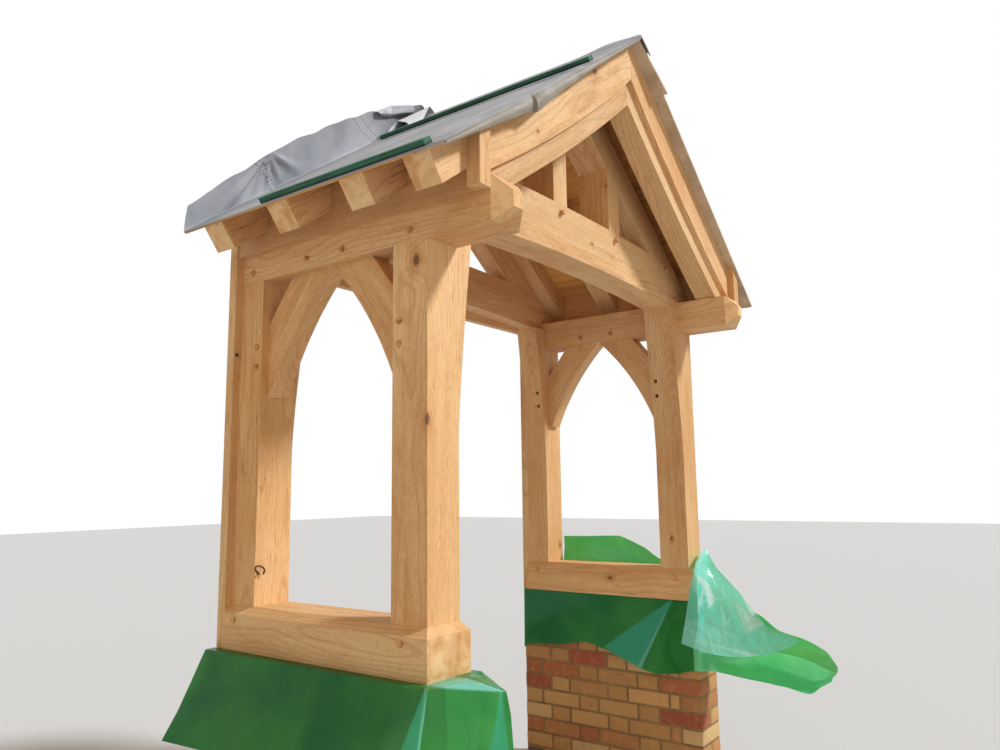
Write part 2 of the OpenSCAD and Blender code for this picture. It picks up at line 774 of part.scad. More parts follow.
// Loose sheet over the right dwarf wall: a skirt inside, a lifted edge outside,
// a flap in front of the sill and a folded tongue in front of the wall
module sheet_right() {
    lifted_x = half_w + sill_out + peg_proud + tooth;
    hem_z = wall_h - sheet_drop;
    flap_y = wall_front_y - sheet_t - tooth;
    tip_y = wall_front_y - sheet_tongue;
    color(green) {
        along_x(inner_x - tooth - sheet_t, inner_x - tooth)
            polygon(concat(
                [[wall_front_y, wall_h], [-tooth, wall_h]],
                [for (i = [0 : curve_steps]) let (t = i / curve_steps)
                    [mix(-tooth, wall_front_y, t), mix(hem_z + sheet_front / 2, hem_z, t) + batten_t * sin(540 * t)]]
            ));
        along_x(lifted_x, lifted_x + sheet_t)
            polygon([
                [wall_front_y, wall_h + tooth], [-wall_rafter_gap, wall_h + tooth],
                [-wall_rafter_gap, sill_z + sheet_lift], [front_y / 2, sill_z + sheet_lift],
                [front_y * 0.75, sill_z], [wall_front_y, sill_z + sheet_lift / 2]
            ]);
        along_y(flap_y, flap_y + sheet_t)
            polygon([
                [inner_x - sheet_front / 2, hem_z + sheet_drop / 3], [inner_x, sill_z - sill_drop],
                [lifted_x - sheet_front / 2, sill_z + sheet_lift / 2], [lifted_x + sheet_t, sill_z],
                [outer_x, wall_h - sheet_drop / 4], [outer_x, hem_z + sheet_t], [inner_x, hem_z + sheet_t]
            ]);
        along_x(inner_x, outer_x)
            polygon(sheet_section([
                [flap_y, wall_h - sheet_t], [mix(flap_y, tip_y, 0.5), wall_h - sheet_drop * 0.3],
                [tip_y + sheet_front / 2, wall_h - sheet_drop * 0.55], [tip_y, wall_h - sheet_drop * 0.78],
                [tip_y + sheet_front, wall_h - sheet_drop * 0.97], [flap_y, hem_z]
            ]));
    }
}

// Pegs of every joint on one side of the porch
module side_pegs() {
    for (front = [true, false]) {
        y = post_mid_y(front);
        ys = brace_pegs_y(front);
        cross_peg(post_in_x - sill_in - peg_proud, half_w + sill_out + peg_proud, y, sill_z - sill_peg_drop);
        for (place = [y, ys[1]])
            cross_peg(beam_in_x - peg_proud, half_w + peg_proud, place, beam_z + peg_set);
        for (z = brace_peg_zs)
            cross_peg(post_in_x + peg_proud, half_w + peg_proud, ys[0], z);
        head_peg(front);
        foot_peg(front);
    }
}

module pegs() {
    color(brown) {
        for (side = [left, right])
            on_side(side) side_pegs();
        strut_pegs(front_y - peg_proud, front_post_back_y);
    }
}

dwarf_wall(left);  // dwarf_wall_left
dwarf_wall(right);  // dwarf_wall_right
sill(left);  // sill_left
sill(right);  // sill_right
post(left, true);  // front_post_left
post(right, true);  // front_post_right
post(left, false);  // rear_post_left
post(right, false);  // rear_post_right
wall_pad(left);  // wall_pad_left
wall_pad(right);  // wall_pad_right
wall_pad_head();
eaves_beam(left);  // eaves_beam_left
eaves_beam(right);  // eaves_beam_right
tie(true);  // front_tie
tie(false);  // rear_tie
principal(left, true);  // front_principal_left
principal(right, true);  // front_principal_right
principal(left, false);  // rear_principal_left
principal(right, false);  // rear_principal_right
queen_strut(left);  // queen_strut_left
queen_strut(right);  // queen_strut_right
brace(left, true);  // brace_front_left
brace(right, true);  // brace_front_right
brace(left, false);  // brace_rear_left
brace(right, false);  // brace_rear_right
gable_rafter(left);  // gable_rafter_left
gable_rafter(right);  // gable_rafter_right
rafters(left);  // rafters_left
rafters(right);  // rafters_right
gable_principal(left);  // gable_principal_left
gable_principal(right);  // gable_principal_right
barge_board(left);  // barge_board_left
barge_board(right);  // barge_board_right
stop_block(left);  // stop_block_left
stop_block(right);  // stop_block_right
eaves_board(left);  // eaves_board_left
eaves_board(right);  // eaves_board_right
boarding(left);  // boarding_left
boarding(right);  // boarding_right
membrane(left);  // membrane_left
membrane(right);  // membrane_right
battens();
sheet_left();
sheet_right();
pegs();
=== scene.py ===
# Looks of the oak porch canopy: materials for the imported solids, brickwork, boards, covers, light and camera.
# Metres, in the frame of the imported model: -Y is the open front, the house wall is the plane Y = 0.
import math
import random

import bmesh
import bpy
from mathutils import Matrix, Vector, noise


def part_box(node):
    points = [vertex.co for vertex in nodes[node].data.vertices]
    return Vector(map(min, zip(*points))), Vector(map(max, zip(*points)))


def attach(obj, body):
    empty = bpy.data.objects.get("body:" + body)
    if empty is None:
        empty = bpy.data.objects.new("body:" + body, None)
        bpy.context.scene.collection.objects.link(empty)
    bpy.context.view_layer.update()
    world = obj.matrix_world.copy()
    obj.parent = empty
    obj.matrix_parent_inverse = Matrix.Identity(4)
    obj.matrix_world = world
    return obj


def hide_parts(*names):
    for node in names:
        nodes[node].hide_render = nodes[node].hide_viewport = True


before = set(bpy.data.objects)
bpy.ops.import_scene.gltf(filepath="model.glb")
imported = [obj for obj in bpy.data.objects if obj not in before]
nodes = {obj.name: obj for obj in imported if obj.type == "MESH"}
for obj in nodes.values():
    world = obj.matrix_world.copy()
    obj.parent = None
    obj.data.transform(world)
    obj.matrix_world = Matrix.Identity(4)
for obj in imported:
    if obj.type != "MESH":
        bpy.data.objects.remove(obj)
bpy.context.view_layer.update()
# The vector noise that roughens bricks and mortar follows the clock until it gets a seed
noise.seed_set(7)

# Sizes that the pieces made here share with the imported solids
PITCH = math.radians(36)
COS = math.cos(PITCH)
SIN = math.sin(PITCH)
FALL = math.tan(PITCH)
LEFT = -1
RIGHT = 1
RIDGE = 3.1683 + 0.1 / COS
EAVE = 1.254
SLOPE = EAVE / COS
VERGE_Y = -1.237
BOARDS_Y = -1.125
# Outer and inner face, front end and top of a dwarf wall
OUTER = 1.10
INNER = 0.885
FRONT = -1.005
WALL_TOP = 0.9
# Thickness of the boards, and where the joint of the right verge strip is, level from the ridge
BOARD = 0.010
VERGE_JOINT = 0.215


# Short-hand for building a node tree of a material or a world
class Graph:
    def __init__(self, owner):
        owner.use_nodes = True
        self.owner = owner
        self.tree = owner.node_tree
        self.tree.nodes.clear()

    def add(self, kind, inputs=None, **settings):
        node = self.tree.nodes.new(kind)
        for key, value in settings.items():
            setattr(node, key, value)
        for key, value in (inputs or {}).items():
            self.put(node.inputs[key], value)
        return node

    def put(self, socket, value):
        if isinstance(value, bpy.types.NodeSocket):
            self.tree.links.new(value, socket)
        elif socket.type == "RGBA" and len(value) == 3:
            socket.default_value = (*value, 1.0)
        else:
            socket.default_value = value

    def math(self, operation, a, b=0.0):
        return self.add("ShaderNodeMath", {0: a, 1: b}, operation=operation).outputs[0]

    def plus(self, a, b):
        return self.math("ADD", a, b)

    def minus(self, a, b):
        return self.math("SUBTRACT", a, b)

    def times(self, a, b):
        return self.math("MULTIPLY", a, b)

    # Distance of a value from a number, whichever side it is on
    def off(self, value, number):
        return self.math("ABSOLUTE", self.minus(value, number))

    def vector(self, operation, a, b=(0.0, 0.0, 0.0)):
        node = self.add("ShaderNodeVectorMath", {0: a, 1: b}, operation=operation)
        return node.outputs["Value" if operation in ("DOT_PRODUCT", "LENGTH") else "Vector"]

    def stretch(self, vector, factors):
        return self.vector("MULTIPLY", vector, factors)

    def split(self, vector):
        return self.add("ShaderNodeSeparateXYZ", {0: vector}).outputs

    def noise(self, vector, scale=1.0, detail=2.0, roughness=0.5, distortion=0.0):
        return self.add("ShaderNodeTexNoise", {
            "Vector": vector, "Scale": scale, "Detail": detail, "Roughness": roughness,
            "Distortion": distortion}).outputs["Fac"]

    def cells(self, vector):
        return self.add("ShaderNodeTexVoronoi", {"Vector": vector, "Scale": 1.0}).outputs

    def span(self, value, low, high, out_low=0.0, out_high=1.0):
        return self.add("ShaderNodeMapRange", {
            "Value": value, "From Min": low, "From Max": high, "To Min": out_low, "To Max": out_high},
            interpolation_type="SMOOTHSTEP").outputs[0]

    def mix(self, factor, a, b, blend="MIX"):
        node = self.add("ShaderNodeMix", data_type="RGBA", blend_type=blend)
        for socket, value in ((0, factor), (6, a), (7, b)):
            self.put(node.inputs[socket], value)
        return node.outputs[2]

    # Lays a share of another colour over this one where the mask is high
    def stain(self, color, mask, share, other):
        return self.mix(self.times(mask, share), color, other)

    # Lays one colour after another, each where its value is between two limits, by its share
    def layers(self, color, *rows):
        for value, low, high, share, other in rows:
            color = self.stain(color, self.span(value, low, high), share, other)
        return color

    def coordinates(self, kind="Object"):
        return self.add("ShaderNodeTexCoord").outputs[kind]

    def tone(self):
        return self.add("ShaderNodeAttribute", attribute_name="tone").outputs["Color"]

    def bump(self, height, distance):
        return self.add("ShaderNodeBump", {"Height": height, "Distance": distance}).outputs[0]

    def shader(self, kind, **sockets):
        return self.add(kind, {key.replace("_", " "): value for key, value in sockets.items()}).outputs[0]

    def close(self, kind, shader):
        self.add(kind, {0: shader})
        return self.owner

    def finish(self, color, roughness, normal=None, **sockets):
        if normal is not None:
            sockets["Normal"] = normal
        shader = self.shader("ShaderNodeBsdfPrincipled", Base_Color=color, Roughness=roughness, **sockets)
        return self.close("ShaderNodeOutputMaterial", shader)


def graph(name):
    return Graph(bpy.data.materials.new(name))


def srgb(*shade):
    return tuple((c / 255 / 12.92) if c <= 10 else ((c / 255 + 0.055) / 1.055) ** 2.4 for c in shade)


def seed_of(name):
    return sum((i + 3) * ord(c) for i, c in enumerate(name)) % 997


def clamp(value, low, high):
    return min(max(value, low), high)


def ease_in(value, low, high):
    t = clamp((value - low) / (high - low), 0.0, 1.0)
    return t * t * (3 - 2 * t)


# Width of a growth ring, how strongly drying cracks show, share of cells without a pin knot
RING = 0.009
CHECKS = 0.55
NO_PIN = 0.74


# Solid oak whose fibres run along grain: streaks, growth rings, knots, drying checks and darker end grain
def oak(name, grain, side, light, dark, knots=()):
    g = graph(name)
    grain = Vector(grain).normalized()
    side = (Vector(side) - Vector(side).dot(grain) * grain).normalized()
    cross = grain.cross(side)
    shift = random.Random(seed_of(name))
    offset = tuple(shift.uniform(-20, 20) for _ in range(3))

    # The same vector as parts along the grain, along side and along cross
    def in_wood(vector):
        parts = (g.vector("DOT_PRODUCT", vector, tuple(axis)) for axis in (grain, side, cross))
        return g.add("ShaderNodeCombineXYZ", dict(enumerate(parts))).outputs[0]

    place = g.coordinates()
    wood = in_wood(place)
    moved = g.vector("ADD", wood, offset)

    # Noise with one scale along the fibres and two across them
    def figure(scales, detail=2.0, roughness=0.5, distortion=0.0):
        return g.noise(g.stretch(moved, scales), 1.0, detail, roughness, distortion)

    def deep(*factors):
        return tuple(c * f for c, f in zip(dark, factors))

    def pale(factor):
        return tuple(min(1, c * factor) for c in light)

    swirl = knot_mask = None
    for spot, radius in knots:
        away = g.stretch(in_wood(g.vector("SUBTRACT", place, spot)), (0.62, 1.0, 1.0))
        wobble = g.times(g.minus(figure((60, 90, 90)), 0.5), radius * 0.7)
        far = g.plus(g.vector("LENGTH", away), wobble)
        near = g.span(far, radius * 4.5, 0.0)
        core = g.span(far, radius * 1.15, radius * 0.55)
        swirl = near if swirl is None else g.math("MAXIMUM", swirl, near)
        knot_mask = core if knot_mask is None else g.math("MAXIMUM", knot_mask, core)

    broad = figure((0.8, 5, 5), 3, 0.6)
    streak = figure((2.4, 46, 46), 4, 0.62, 0.3)
    fibre = figure((18, 420, 420), 2, 0.6)
    pores = g.span(figure((42, 560, 560), 1), 0.60, 0.72)
    fleck = figure((30, 150, 70), 1, 0.4)
    warp = figure((1.0, 3.6, 3.6), 2, 0.6)
    tannin = figure((1.5, 3.5, 3.5), 3, 0.65, 0.5)
    if knots:
        streak = g.plus(streak, g.times(swirl, 0.16))
        warp = g.plus(warp, g.times(swirl, 0.30))

    # Growth rings about a heart that lies off the middle of the timber
    middle = (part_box(name)[0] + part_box(name)[1]) / 2
    parts = g.split(wood)
    ring_v = g.minus(parts[1], middle.dot(side) + offset[0] % 1 * 0.12 - 0.02)
    ring_w = g.minus(parts[2], middle.dot(cross) + offset[1] % 1 * 0.16 - 0.08)
    radius = g.math("SQRT", g.plus(g.times(ring_v, ring_v), g.times(ring_w, ring_w)))
    radius = g.plus(radius, g.times(warp, 0.085))
    rings = g.span(g.math("SINE", g.times(radius, 2 * math.pi / RING)), 0.35, 1.0)

    color = g.layers(
        light,
        (broad, 0.35, 0.7, 0.7, dark),
        (tannin, 0.48, 0.72, 0.52, deep(0.98, 0.84, 0.64)),
        (streak, 0.52, 0.74, 0.40, deep(0.84, 0.74, 0.62)),
        (streak, 0.46, 0.28, 0.3, pale(1.06)))
    color = g.layers(
        g.stain(color, rings, 0.34, deep(0.82, 0.72, 0.58)),
        (fleck, 0.62, 0.74, 0.3, pale(1.12)),
        (fibre, 0.46, 0.68, 0.18, deep(0.62, 0.52, 0.42)))
    color = g.stain(color, pores, 0.42, deep(0.50, 0.40, 0.30))

    # Pin knots with a halo in some cells of a stretched pattern, and small dark specks
    cells = g.cells(g.stretch(moved, (3.4, 8.5, 8.5)))
    chosen = g.span(g.split(cells["Color"])[0], NO_PIN, NO_PIN + 0.02)
    ragged = g.plus(cells["Distance"], g.times(g.minus(figure((150, 190, 190)), 0.5), 0.06))
    halo = g.times(g.span(ragged, 0.20, 0.03), chosen)
    pin = g.times(g.span(ragged, 0.040, 0.012), chosen)
    color = g.stain(color, halo, 0.38, deep(0.86, 0.66, 0.44))
    color = g.stain(color, pin, 0.85, srgb(96, 58, 32))
    cells = g.cells(g.stretch(moved, (26, 60, 60)))
    speck = g.times(g.span(cells["Distance"], 0.10, 0.04), g.span(g.split(cells["Color"])[1], 0.93, 0.95))
    color = g.stain(color, speck, 0.6, srgb(104, 66, 40))

    # Drying checks, as thin lines where one noise crosses its middle
    crack = figure((0.7, 24, 24))
    where = figure((2.2, 6, 6), 1)
    line = g.times(g.times(g.span(g.off(crack, 0.5), 0.004, 0.0), g.span(where, 0.60, 0.66)), CHECKS)
    color = g.mix(line, color, deep(0.2, 0.2, 0.2))
    if knots:
        star = g.span(figure((130, 210, 210), 2, 0.6), 0.35, 0.62)
        color = g.layers(color, (swirl, 0.3, 0.95, 0.4, deep(0.80, 0.62, 0.44)))
        color = g.mix(knot_mask, color, g.mix(star, srgb(92, 64, 44), srgb(150, 104, 66)))

    facing = g.math("ABSOLUTE", g.vector("DOT_PRODUCT", g.coordinates("Normal"), tuple(grain)))
    cloud = g.span(figure((8, 14, 14), 4, 0.62, 0.6), 0.36, 0.72)
    end = g.mix(cloud, pale(1.02), deep(1.0, 0.92, 0.80))
    end = g.stain(end, rings, 0.12, deep(0.72, 0.60, 0.46))
    end = g.layers(end, (figure((300, 480, 480), 1), 0.58, 0.72, 0.16, deep(0.5, 0.5, 0.5)))
    split = g.span(g.off(figure((5, 13, 13), 3, 0.6), 0.5), 0.006, 0.001)
    end = g.stain(end, g.times(split, g.span(where, 0.55, 0.62)), 0.5, deep(0.3, 0.3, 0.3))
    color = g.mix(g.span(facing, 0.55, 0.8), color, end)

    height = g.plus(g.times(fibre, 0.30), g.times(streak, 0.35))
    height = g.minus(height, g.times(pores, 0.35))
    height = g.minus(height, g.times(line, 1.6))
    if knots:
        height = g.minus(height, g.times(knot_mask, 0.5))
    return g.finish(color, g.span(streak, 0.3, 0.7, 0.60, 0.74), g.bump(height, 0.0011))


PALE = srgb(235, 194, 142)
HONEY = srgb(206, 153, 95)

# Every timber by its name without the side, under the direction of its fibres and a direction across them
OAK = {
    ((1, 0, 0), (0, 1, 0)): ("wall_pad_head", "front_tie", "rear_tie"),
    ((0, 1, 0), (1, 0, 0)): ("sill", "eaves_beam", "eaves_board"),
    ((0, 0, 1), (1, 0, 0)): ("front_post", "rear_post", "wall_pad", "queen_strut", "stop_block"),
    ((0, 0.6, 0.8), (1, 0, 0)): ("brace_front",),
    ((0, -0.6, 0.8), (1, 0, 0)): ("brace_rear",),
}
DIRECTIONS = {stem: direction for direction, stems in OAK.items() for stem in stems}
# Timbers whose fibres run up the slope
SLOPING = ("front_principal", "rear_principal", "gable_rafter", "rafters", "gable_principal", "barge_board")

# Knots that stand out, with their radius
KNOTS = {
    "front_post_left": [((-1.03, -0.928, 2.162), 0.015), ((-1.030, -0.976, 1.658), 0.013)],
    "front_post_right": [((0.88, -0.893, 1.191), 0.008)],
    "rear_post_left": [((-0.935, -0.166, 1.985), 0.006)],
    "rear_post_right": [((1.003, -0.166, 1.131), 0.010)],
    "sill_right": [((0.865, -0.549, 0.986), 0.010)],
    "front_tie": [((0.02, -0.975, 2.47), 0.006)],
    "barge_board_left": [((-0.313, -1.195, 3.025), 0.012), ((-0.723, -1.195, 2.628), 0.005)],
}


# Gives one timber its own oak, a little lighter or darker and warmer or cooler than the next
def dress(name, direction):
    vary = random.Random(seed_of(name) + 5)
    tone = vary.uniform(0.93, 1.05)
    warm = vary.uniform(-0.03, 0.03)
    tint = (tone * (1 + warm), tone, tone * (1 - warm))
    light, dark = (tuple(c * t for c, t in zip(shade, tint)) for shade in (PALE, HONEY))
    mesh = nodes[name].data
    mesh.materials.clear()
    mesh.materials.append(oak(name, *direction, light, dark, KNOTS.get(name, ())))


for name in sorted(nodes):
    stem = name.removesuffix("_left").removesuffix("_right")
    if stem in DIRECTIONS:
        dress(name, DIRECTIONS[stem])
    elif stem in SLOPING:
        dress(name, ((COS, 0, SIN if name.endswith("_left") else -SIN), (0, 1, 0)))


# Puts a mesh in the scene as one piece
def piece_of(name, mesh, smooth):
    piece = bpy.data.objects.new(name, mesh)
    bpy.context.scene.collection.objects.link(piece)
    mesh.polygons.foreach_set("use_smooth", [smooth] * len(mesh.polygons))
    return piece


def from_bmesh(name, bm, smooth=False):
    mesh = bpy.data.meshes.new(name)
    bm.normal_update()
    bm.to_mesh(mesh)
    bm.free()
    return piece_of(name, mesh, smooth)


# A place on one slope: along is down from the ridge, out is square to the boards' underside
def on_slope(side, along, y, out):
    return Vector((side * (along * COS + out * SIN), y, RIDGE - along * SIN + out * COS))


# Eight corners of a slab between two heights on one slope, from (along, y) pairs, cut plumb at the ridge
def slab(side, outline, low, high):
    return [on_slope(side, along - (out * FALL if along == 0 else 0.0), y, out)
            for out in (low, high) for along, y in outline]


# Adds a box from its eight corners, low ring then high ring, with eased edges and cross cuts along Y
def add_box(bm, corners, ease, tone=None, cuts=0):
    part = bmesh.new()
    verts = [part.verts.new(c) for c in corners]
    for f in ((0, 3, 2, 1), (4, 5, 6, 7), (0, 1, 5, 4), (1, 2, 6, 5), (2, 3, 7, 6), (3, 0, 4, 7)):
        part.faces.new([verts[i] for i in f])
    bmesh.ops.recalc_face_normals(part, faces=part.faces)
    low = min(c[1] for c in corners)
    high = max(c[1] for c in corners)
    bmesh.ops.bevel(part, geom=list(part.edges), offset=ease, segments=2, profile=0.6, affect="EDGES")
    for i in range(cuts):
        at = low + ease + (high - low - 2 * ease) * (i + 1) / (cuts + 1)
        geometry = list(part.verts) + list(part.edges) + list(part.faces)
        bmesh.ops.bisect_plane(part, geom=geometry, plane_co=(0, at, 0), plane_no=(0, 1, 0))
    layer = bm.loops.layers.float_color["tone"] if tone else None
    part.verts.index_update()
    copies = [bm.verts.new(v.co) for v in part.verts]
    for face in part.faces:
        new = bm.faces.new([copies[v.index] for v in face.verts])
        if tone:
            for loop in new.loops:
                loop[layer] = tone
    part.free()


# A mesh in the making whose faces each carry a colour of their own
def toned_bmesh():
    bm = bmesh.new()
    bm.loops.layers.float_color.new("tone")
    return bm


# Shades of the bricks, with how many in a hundred have them
BRICK_TONES = [
    (srgb(186, 138, 84), 34), (srgb(200, 154, 98), 26), (srgb(180, 124, 76), 14), (srgb(176, 104, 66), 10),
    (srgb(164, 84, 58), 7), (srgb(104, 80, 68), 5), (srgb(208, 172, 120), 7),
]
STRETCHER = 0.215
HEADER = 0.1025
CLOSER = 0.04625
BRICK_HEIGHT = 0.065
JOINT = 0.010
COURSE = 0.075
COURSES = 12
# How far the mortar lies behind the bricks, and how much a brick's corners are out of true
RECESS = 0.0035
UNEVEN = 0.0012


# One course in Flemish bond as (lies along the wall, start, end); every other course starts with a header
def course_units(stretcher_first, length):
    sizes = [STRETCHER, HEADER] if stretcher_first else [HEADER, CLOSER]
    at = 0.0
    step = 0
    while at < length - 0.02:
        size = sizes[step] if step < 2 else (HEADER if step % 2 else STRETCHER)
        end = min(at + size, length)
        yield size == STRETCHER, at, end
        at = end + JOINT
        step += 1


def brick_material():
    g = graph("brick")
    place = g.coordinates()
    sand = g.noise(place, 420, 3, 0.7)
    blotch = g.noise(place, 26, 4, 0.65)
    color = g.layers(
        g.tone(),
        (blotch, 0.46, 0.74, 0.34, srgb(214, 168, 112)),
        (g.noise(place, 9, 3, 0.6), 0.54, 0.76, 0.24, srgb(150, 92, 56)),
        (sand, 0.5, 0.8, 0.2, srgb(104, 66, 42)),
        (g.noise(place, 60, 2, 0.6), 0.68, 0.74, 0.5, srgb(84, 58, 46)),
        (g.noise(place, 14, 3, 0.7), 0.62, 0.8, 0.2, srgb(222, 192, 150)))
    height = g.plus(g.times(sand, 0.6), g.times(blotch, 1.2))
    return g.finish(color, g.span(blotch, 0.3, 0.7, 0.82, 0.95), g.bump(height, 0.002))


def mortar_material():
    g = graph("mortar")
    place = g.coordinates()
    grit = g.noise(place, 520, 3, 0.75)
    color = g.mix(g.span(g.noise(place, 7, 3, 0.6), 0.35, 0.7), srgb(158, 124, 82), srgb(132, 100, 64))
    color = g.layers(color, (grit, 0.5, 0.75, 0.35, srgb(116, 86, 56)))
    return g.finish(color, 0.93, g.bump(grit, 0.0016))


# Dwarf wall: joined bricks with eased, slightly uneven edges over a recessed bed of mortar
def brick_wall(side):
    name = "bricks_left" if side == LEFT else "bricks_right"
    rng = random.Random(41 + side)
    tones = [t for t, n in BRICK_TONES for _ in range(n)]
    bm = toned_bmesh()

    def jitter():
        return rng.uniform(-UNEVEN, UNEVEN)

    def brick(x0, x1, y0, y1, z0, z1):
        turn = rng.uniform(-0.0015, 0.0015)
        inset = 0.0013
        corners = []
        for z in (z0, z1):
            for x, y in ((x0, y0), (x1, y0), (x1, y1), (x0, y1)):
                xx = clamp(x + jitter() + (turn if y == y1 else 0), x0 + inset, x1 - inset)
                yy = clamp(y + jitter(), y0 + inset, y1 - inset)
                corners.append((side * xx, yy, z + (jitter() - 0.0012 if z == z1 else jitter() * 0.4 + 0.0005)))
        tone = rng.choice(tones)
        bright = rng.uniform(0.88, 1.06)
        add_box(bm, corners, 0.0032, (*(t * bright for t in tone), rng.random()), max(1, int((y1 - y0) / 0.03)))

    for course in range(COURSES):
        z0 = course * COURSE + JOINT
        z1 = z0 + BRICK_HEIGHT
        for along_wall, start, end in course_units(course % 2 == 0, -FRONT):
            y0, y1 = FRONT + start, FRONT + end
            if along_wall:
                brick(INNER, INNER + HEADER, y0, y1, z0, z1)
                brick(OUTER - HEADER, OUTER, y0, y1, z0, z1)
            else:
                brick(INNER, OUTER, y0, y1, z0, z1)
    for vert in bm.verts:
        vert.co += noise.noise_vector(vert.co * 55.0) * 0.0009 + noise.noise_vector(vert.co * 17.0) * 0.0007
        vert.co.x = side * clamp(abs(vert.co.x), INNER, OUTER)
        vert.co.y = clamp(vert.co.y, FRONT, 0.0)
        vert.co.z = clamp(vert.co.z, 0.0, WALL_TOP - 0.0003)
    piece = from_bmesh(name, bm, smooth=True)
    piece.data.materials.append(brick_material())

    bed = bmesh.new()
    bmesh.ops.create_cube(bed, size=1.0)
    for vert in bed.verts:
        vert.co = Vector((
            side * (OUTER - RECESS if vert.co.x > 0 else INNER + RECESS),
            FRONT + RECESS if vert.co.y < 0 else -RECESS,
            WALL_TOP - 0.001 if vert.co.z > 0 else 0.0))
    bmesh.ops.recalc_face_normals(bed, faces=bed.faces)
    bmesh.ops.subdivide_edges(bed, edges=bed.edges, cuts=40, use_grid_fill=True)
    for vert in bed.verts:
        if 0.01 < vert.co.z < WALL_TOP - 0.01:
            vert.co += noise.noise_vector(vert.co * 34.0) * 0.0012
        vert.co.y = min(vert.co.y, -0.0025)
    mortar = from_bmesh(name + "_mortar", bed, smooth=True)
    mortar.data.materials.append(mortar_material())
    for made_piece in (piece, mortar):
        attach(made_piece, "root")
    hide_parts("dwarf_wall_left" if side == LEFT else "dwarf_wall_right")


def softwood():
    g = graph("softwood")
    place = g.coordinates()
    tone = g.tone()
    own = g.vector("ADD", place, g.stretch(tone, (9, 31, 17)))
    streak = g.noise(g.stretch(own, (26, 1.4, 26)), 1.0, 3, 0.6, 0.4)
    fibre = g.noise(g.stretch(place, (260, 12, 260)), 1.0, 2, 0.6)
    knot = g.cells(g.stretch(place, (5, 2.4, 5)))["Distance"]
    color = g.mix(g.span(streak, 0.35, 0.68), srgb(238, 184, 108), srgb(216, 150, 80))
    color = g.layers(
        color,
        (fibre, 0.45, 0.7, 0.25, srgb(170, 114, 62)),
        (knot, 0.09, 0.05, 0.8, srgb(104, 58, 30)))
    color = g.mix(1.0, color, tone, "MULTIPLY")
    return g.finish(color, 0.72, g.bump(g.plus(fibre, streak), 0.0012))


def verge_board():
    g = graph("verge_board")
    place = g.coordinates()
    speck = g.noise(place, 300, 2, 0.7)
    color = g.mix(g.span(g.noise(place, 9, 4, 0.6), 0.35, 0.68), srgb(206, 186, 158), srgb(178, 156, 128))
    color = g.layers(color, (speck, 0.52, 0.75, 0.3, srgb(138, 118, 96)))
    return g.finish(color, 0.85, g.bump(speck, 0.0008))


BOARDS_ACROSS = 12
# Rafters on which a row of boards may be joined, and half of the gaps between boards
JOINT_RAFTERS = (-0.862, -0.543)
SIDE_GAP = 0.0003
END_GAP = 0.0005
# Gap at the joint of the verge strips
STRIP_GAP = 0.0012


# Sawn softwood boards laid along the roof, each with its own tone, and pale strips up the verge
def boarding(side):
    name = "boards_left" if side == LEFT else "boards_right"
    rng = random.Random(seed_of(name))
    bm = toned_bmesh()
    width = SLOPE / BOARDS_ACROSS
    for i in range(BOARDS_ACROSS):
        a0 = i * width + (SIDE_GAP if i else 0.0)
        a1 = (i + 1) * width - SIDE_GAP
        joints = [BOARDS_Y + 0.0007, -0.0005]
        if i % 3 == 1:
            joints.insert(1, rng.choice(JOINT_RAFTERS))
        for start, end in zip(joints, joints[1:]):
            y0, y1 = start + END_GAP, end - END_GAP
            t = rng.uniform(0.82, 1.1)
            tone = (t, t * rng.uniform(0.96, 1.0), t * rng.uniform(0.9, 1.0), 1.0)
            add_box(bm, slab(side, ((a0, y0), (a1, y0), (a1, y1), (a0, y1)), 0.0, BOARD), 0.0006, tone)
    piece = from_bmesh(name, bm)
    piece.data.materials.append(softwood())
    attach(piece, "root")
    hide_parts(name.replace("boards", "boarding"))

    # On the right the upper strip widens down to the joint, and the lower one narrows down to the eaves
    lean = 0.0 if side == LEFT else 1.0
    joint = VERGE_JOINT / COS
    inner_y = BOARDS_Y - 0.001
    strips = bmesh.new()
    for a0, a1, y0, y1 in ((0.0, joint, VERGE_Y, VERGE_Y - 0.025 * lean),
                           (joint + STRIP_GAP, SLOPE, VERGE_Y - 0.006 * lean, VERGE_Y)):
        outline = ((a0, y0), (a1, y1), (a1, inner_y), (a0, inner_y))
        add_box(strips, slab(side, outline, 0.0, BOARD), 0.0012)
    strip = from_bmesh("verge_" + name, strips)
    strip.data.materials.append(verge_board())
    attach(strip, "root")


# Rows of points given in millimetres
def lattice(*rows):
    return [[Vector((x / 1000, y / 1000, z / 1000)) for x, y, z in row] for row in rows]


# Smooth line through points; tension 0 keeps it straight between them
def spline(points, steps, tension):
    out = []
    count = len(points)
    for i in range(count - 1):
        p0, p1, p2, p3 = points[max(i - 1, 0)], points[i], points[i + 1], points[min(i + 2, count - 1)]
        m1, m2 = (p2 - p0) * tension, (p3 - p1) * tension
        for s in range(steps):
            t = s / steps
            out.append(p1 * (2 * t ** 3 - 3 * t ** 2 + 1) + m1 * (t ** 3 - 2 * t ** 2 + t)
                       + p2 * (3 * t ** 2 - 2 * t ** 3) + m2 * (t ** 3 - t ** 2))
    out.append(points[-1].copy())
    return out


# Fine grid over rows of points
def surface(rows, row_steps, col_steps, tension):
    fine_rows = [spline(row, col_steps, tension) for row in rows]
    columns = [spline(list(column), row_steps, tension) for column in zip(*fine_rows)]
    return [list(row) for row in zip(*columns)]


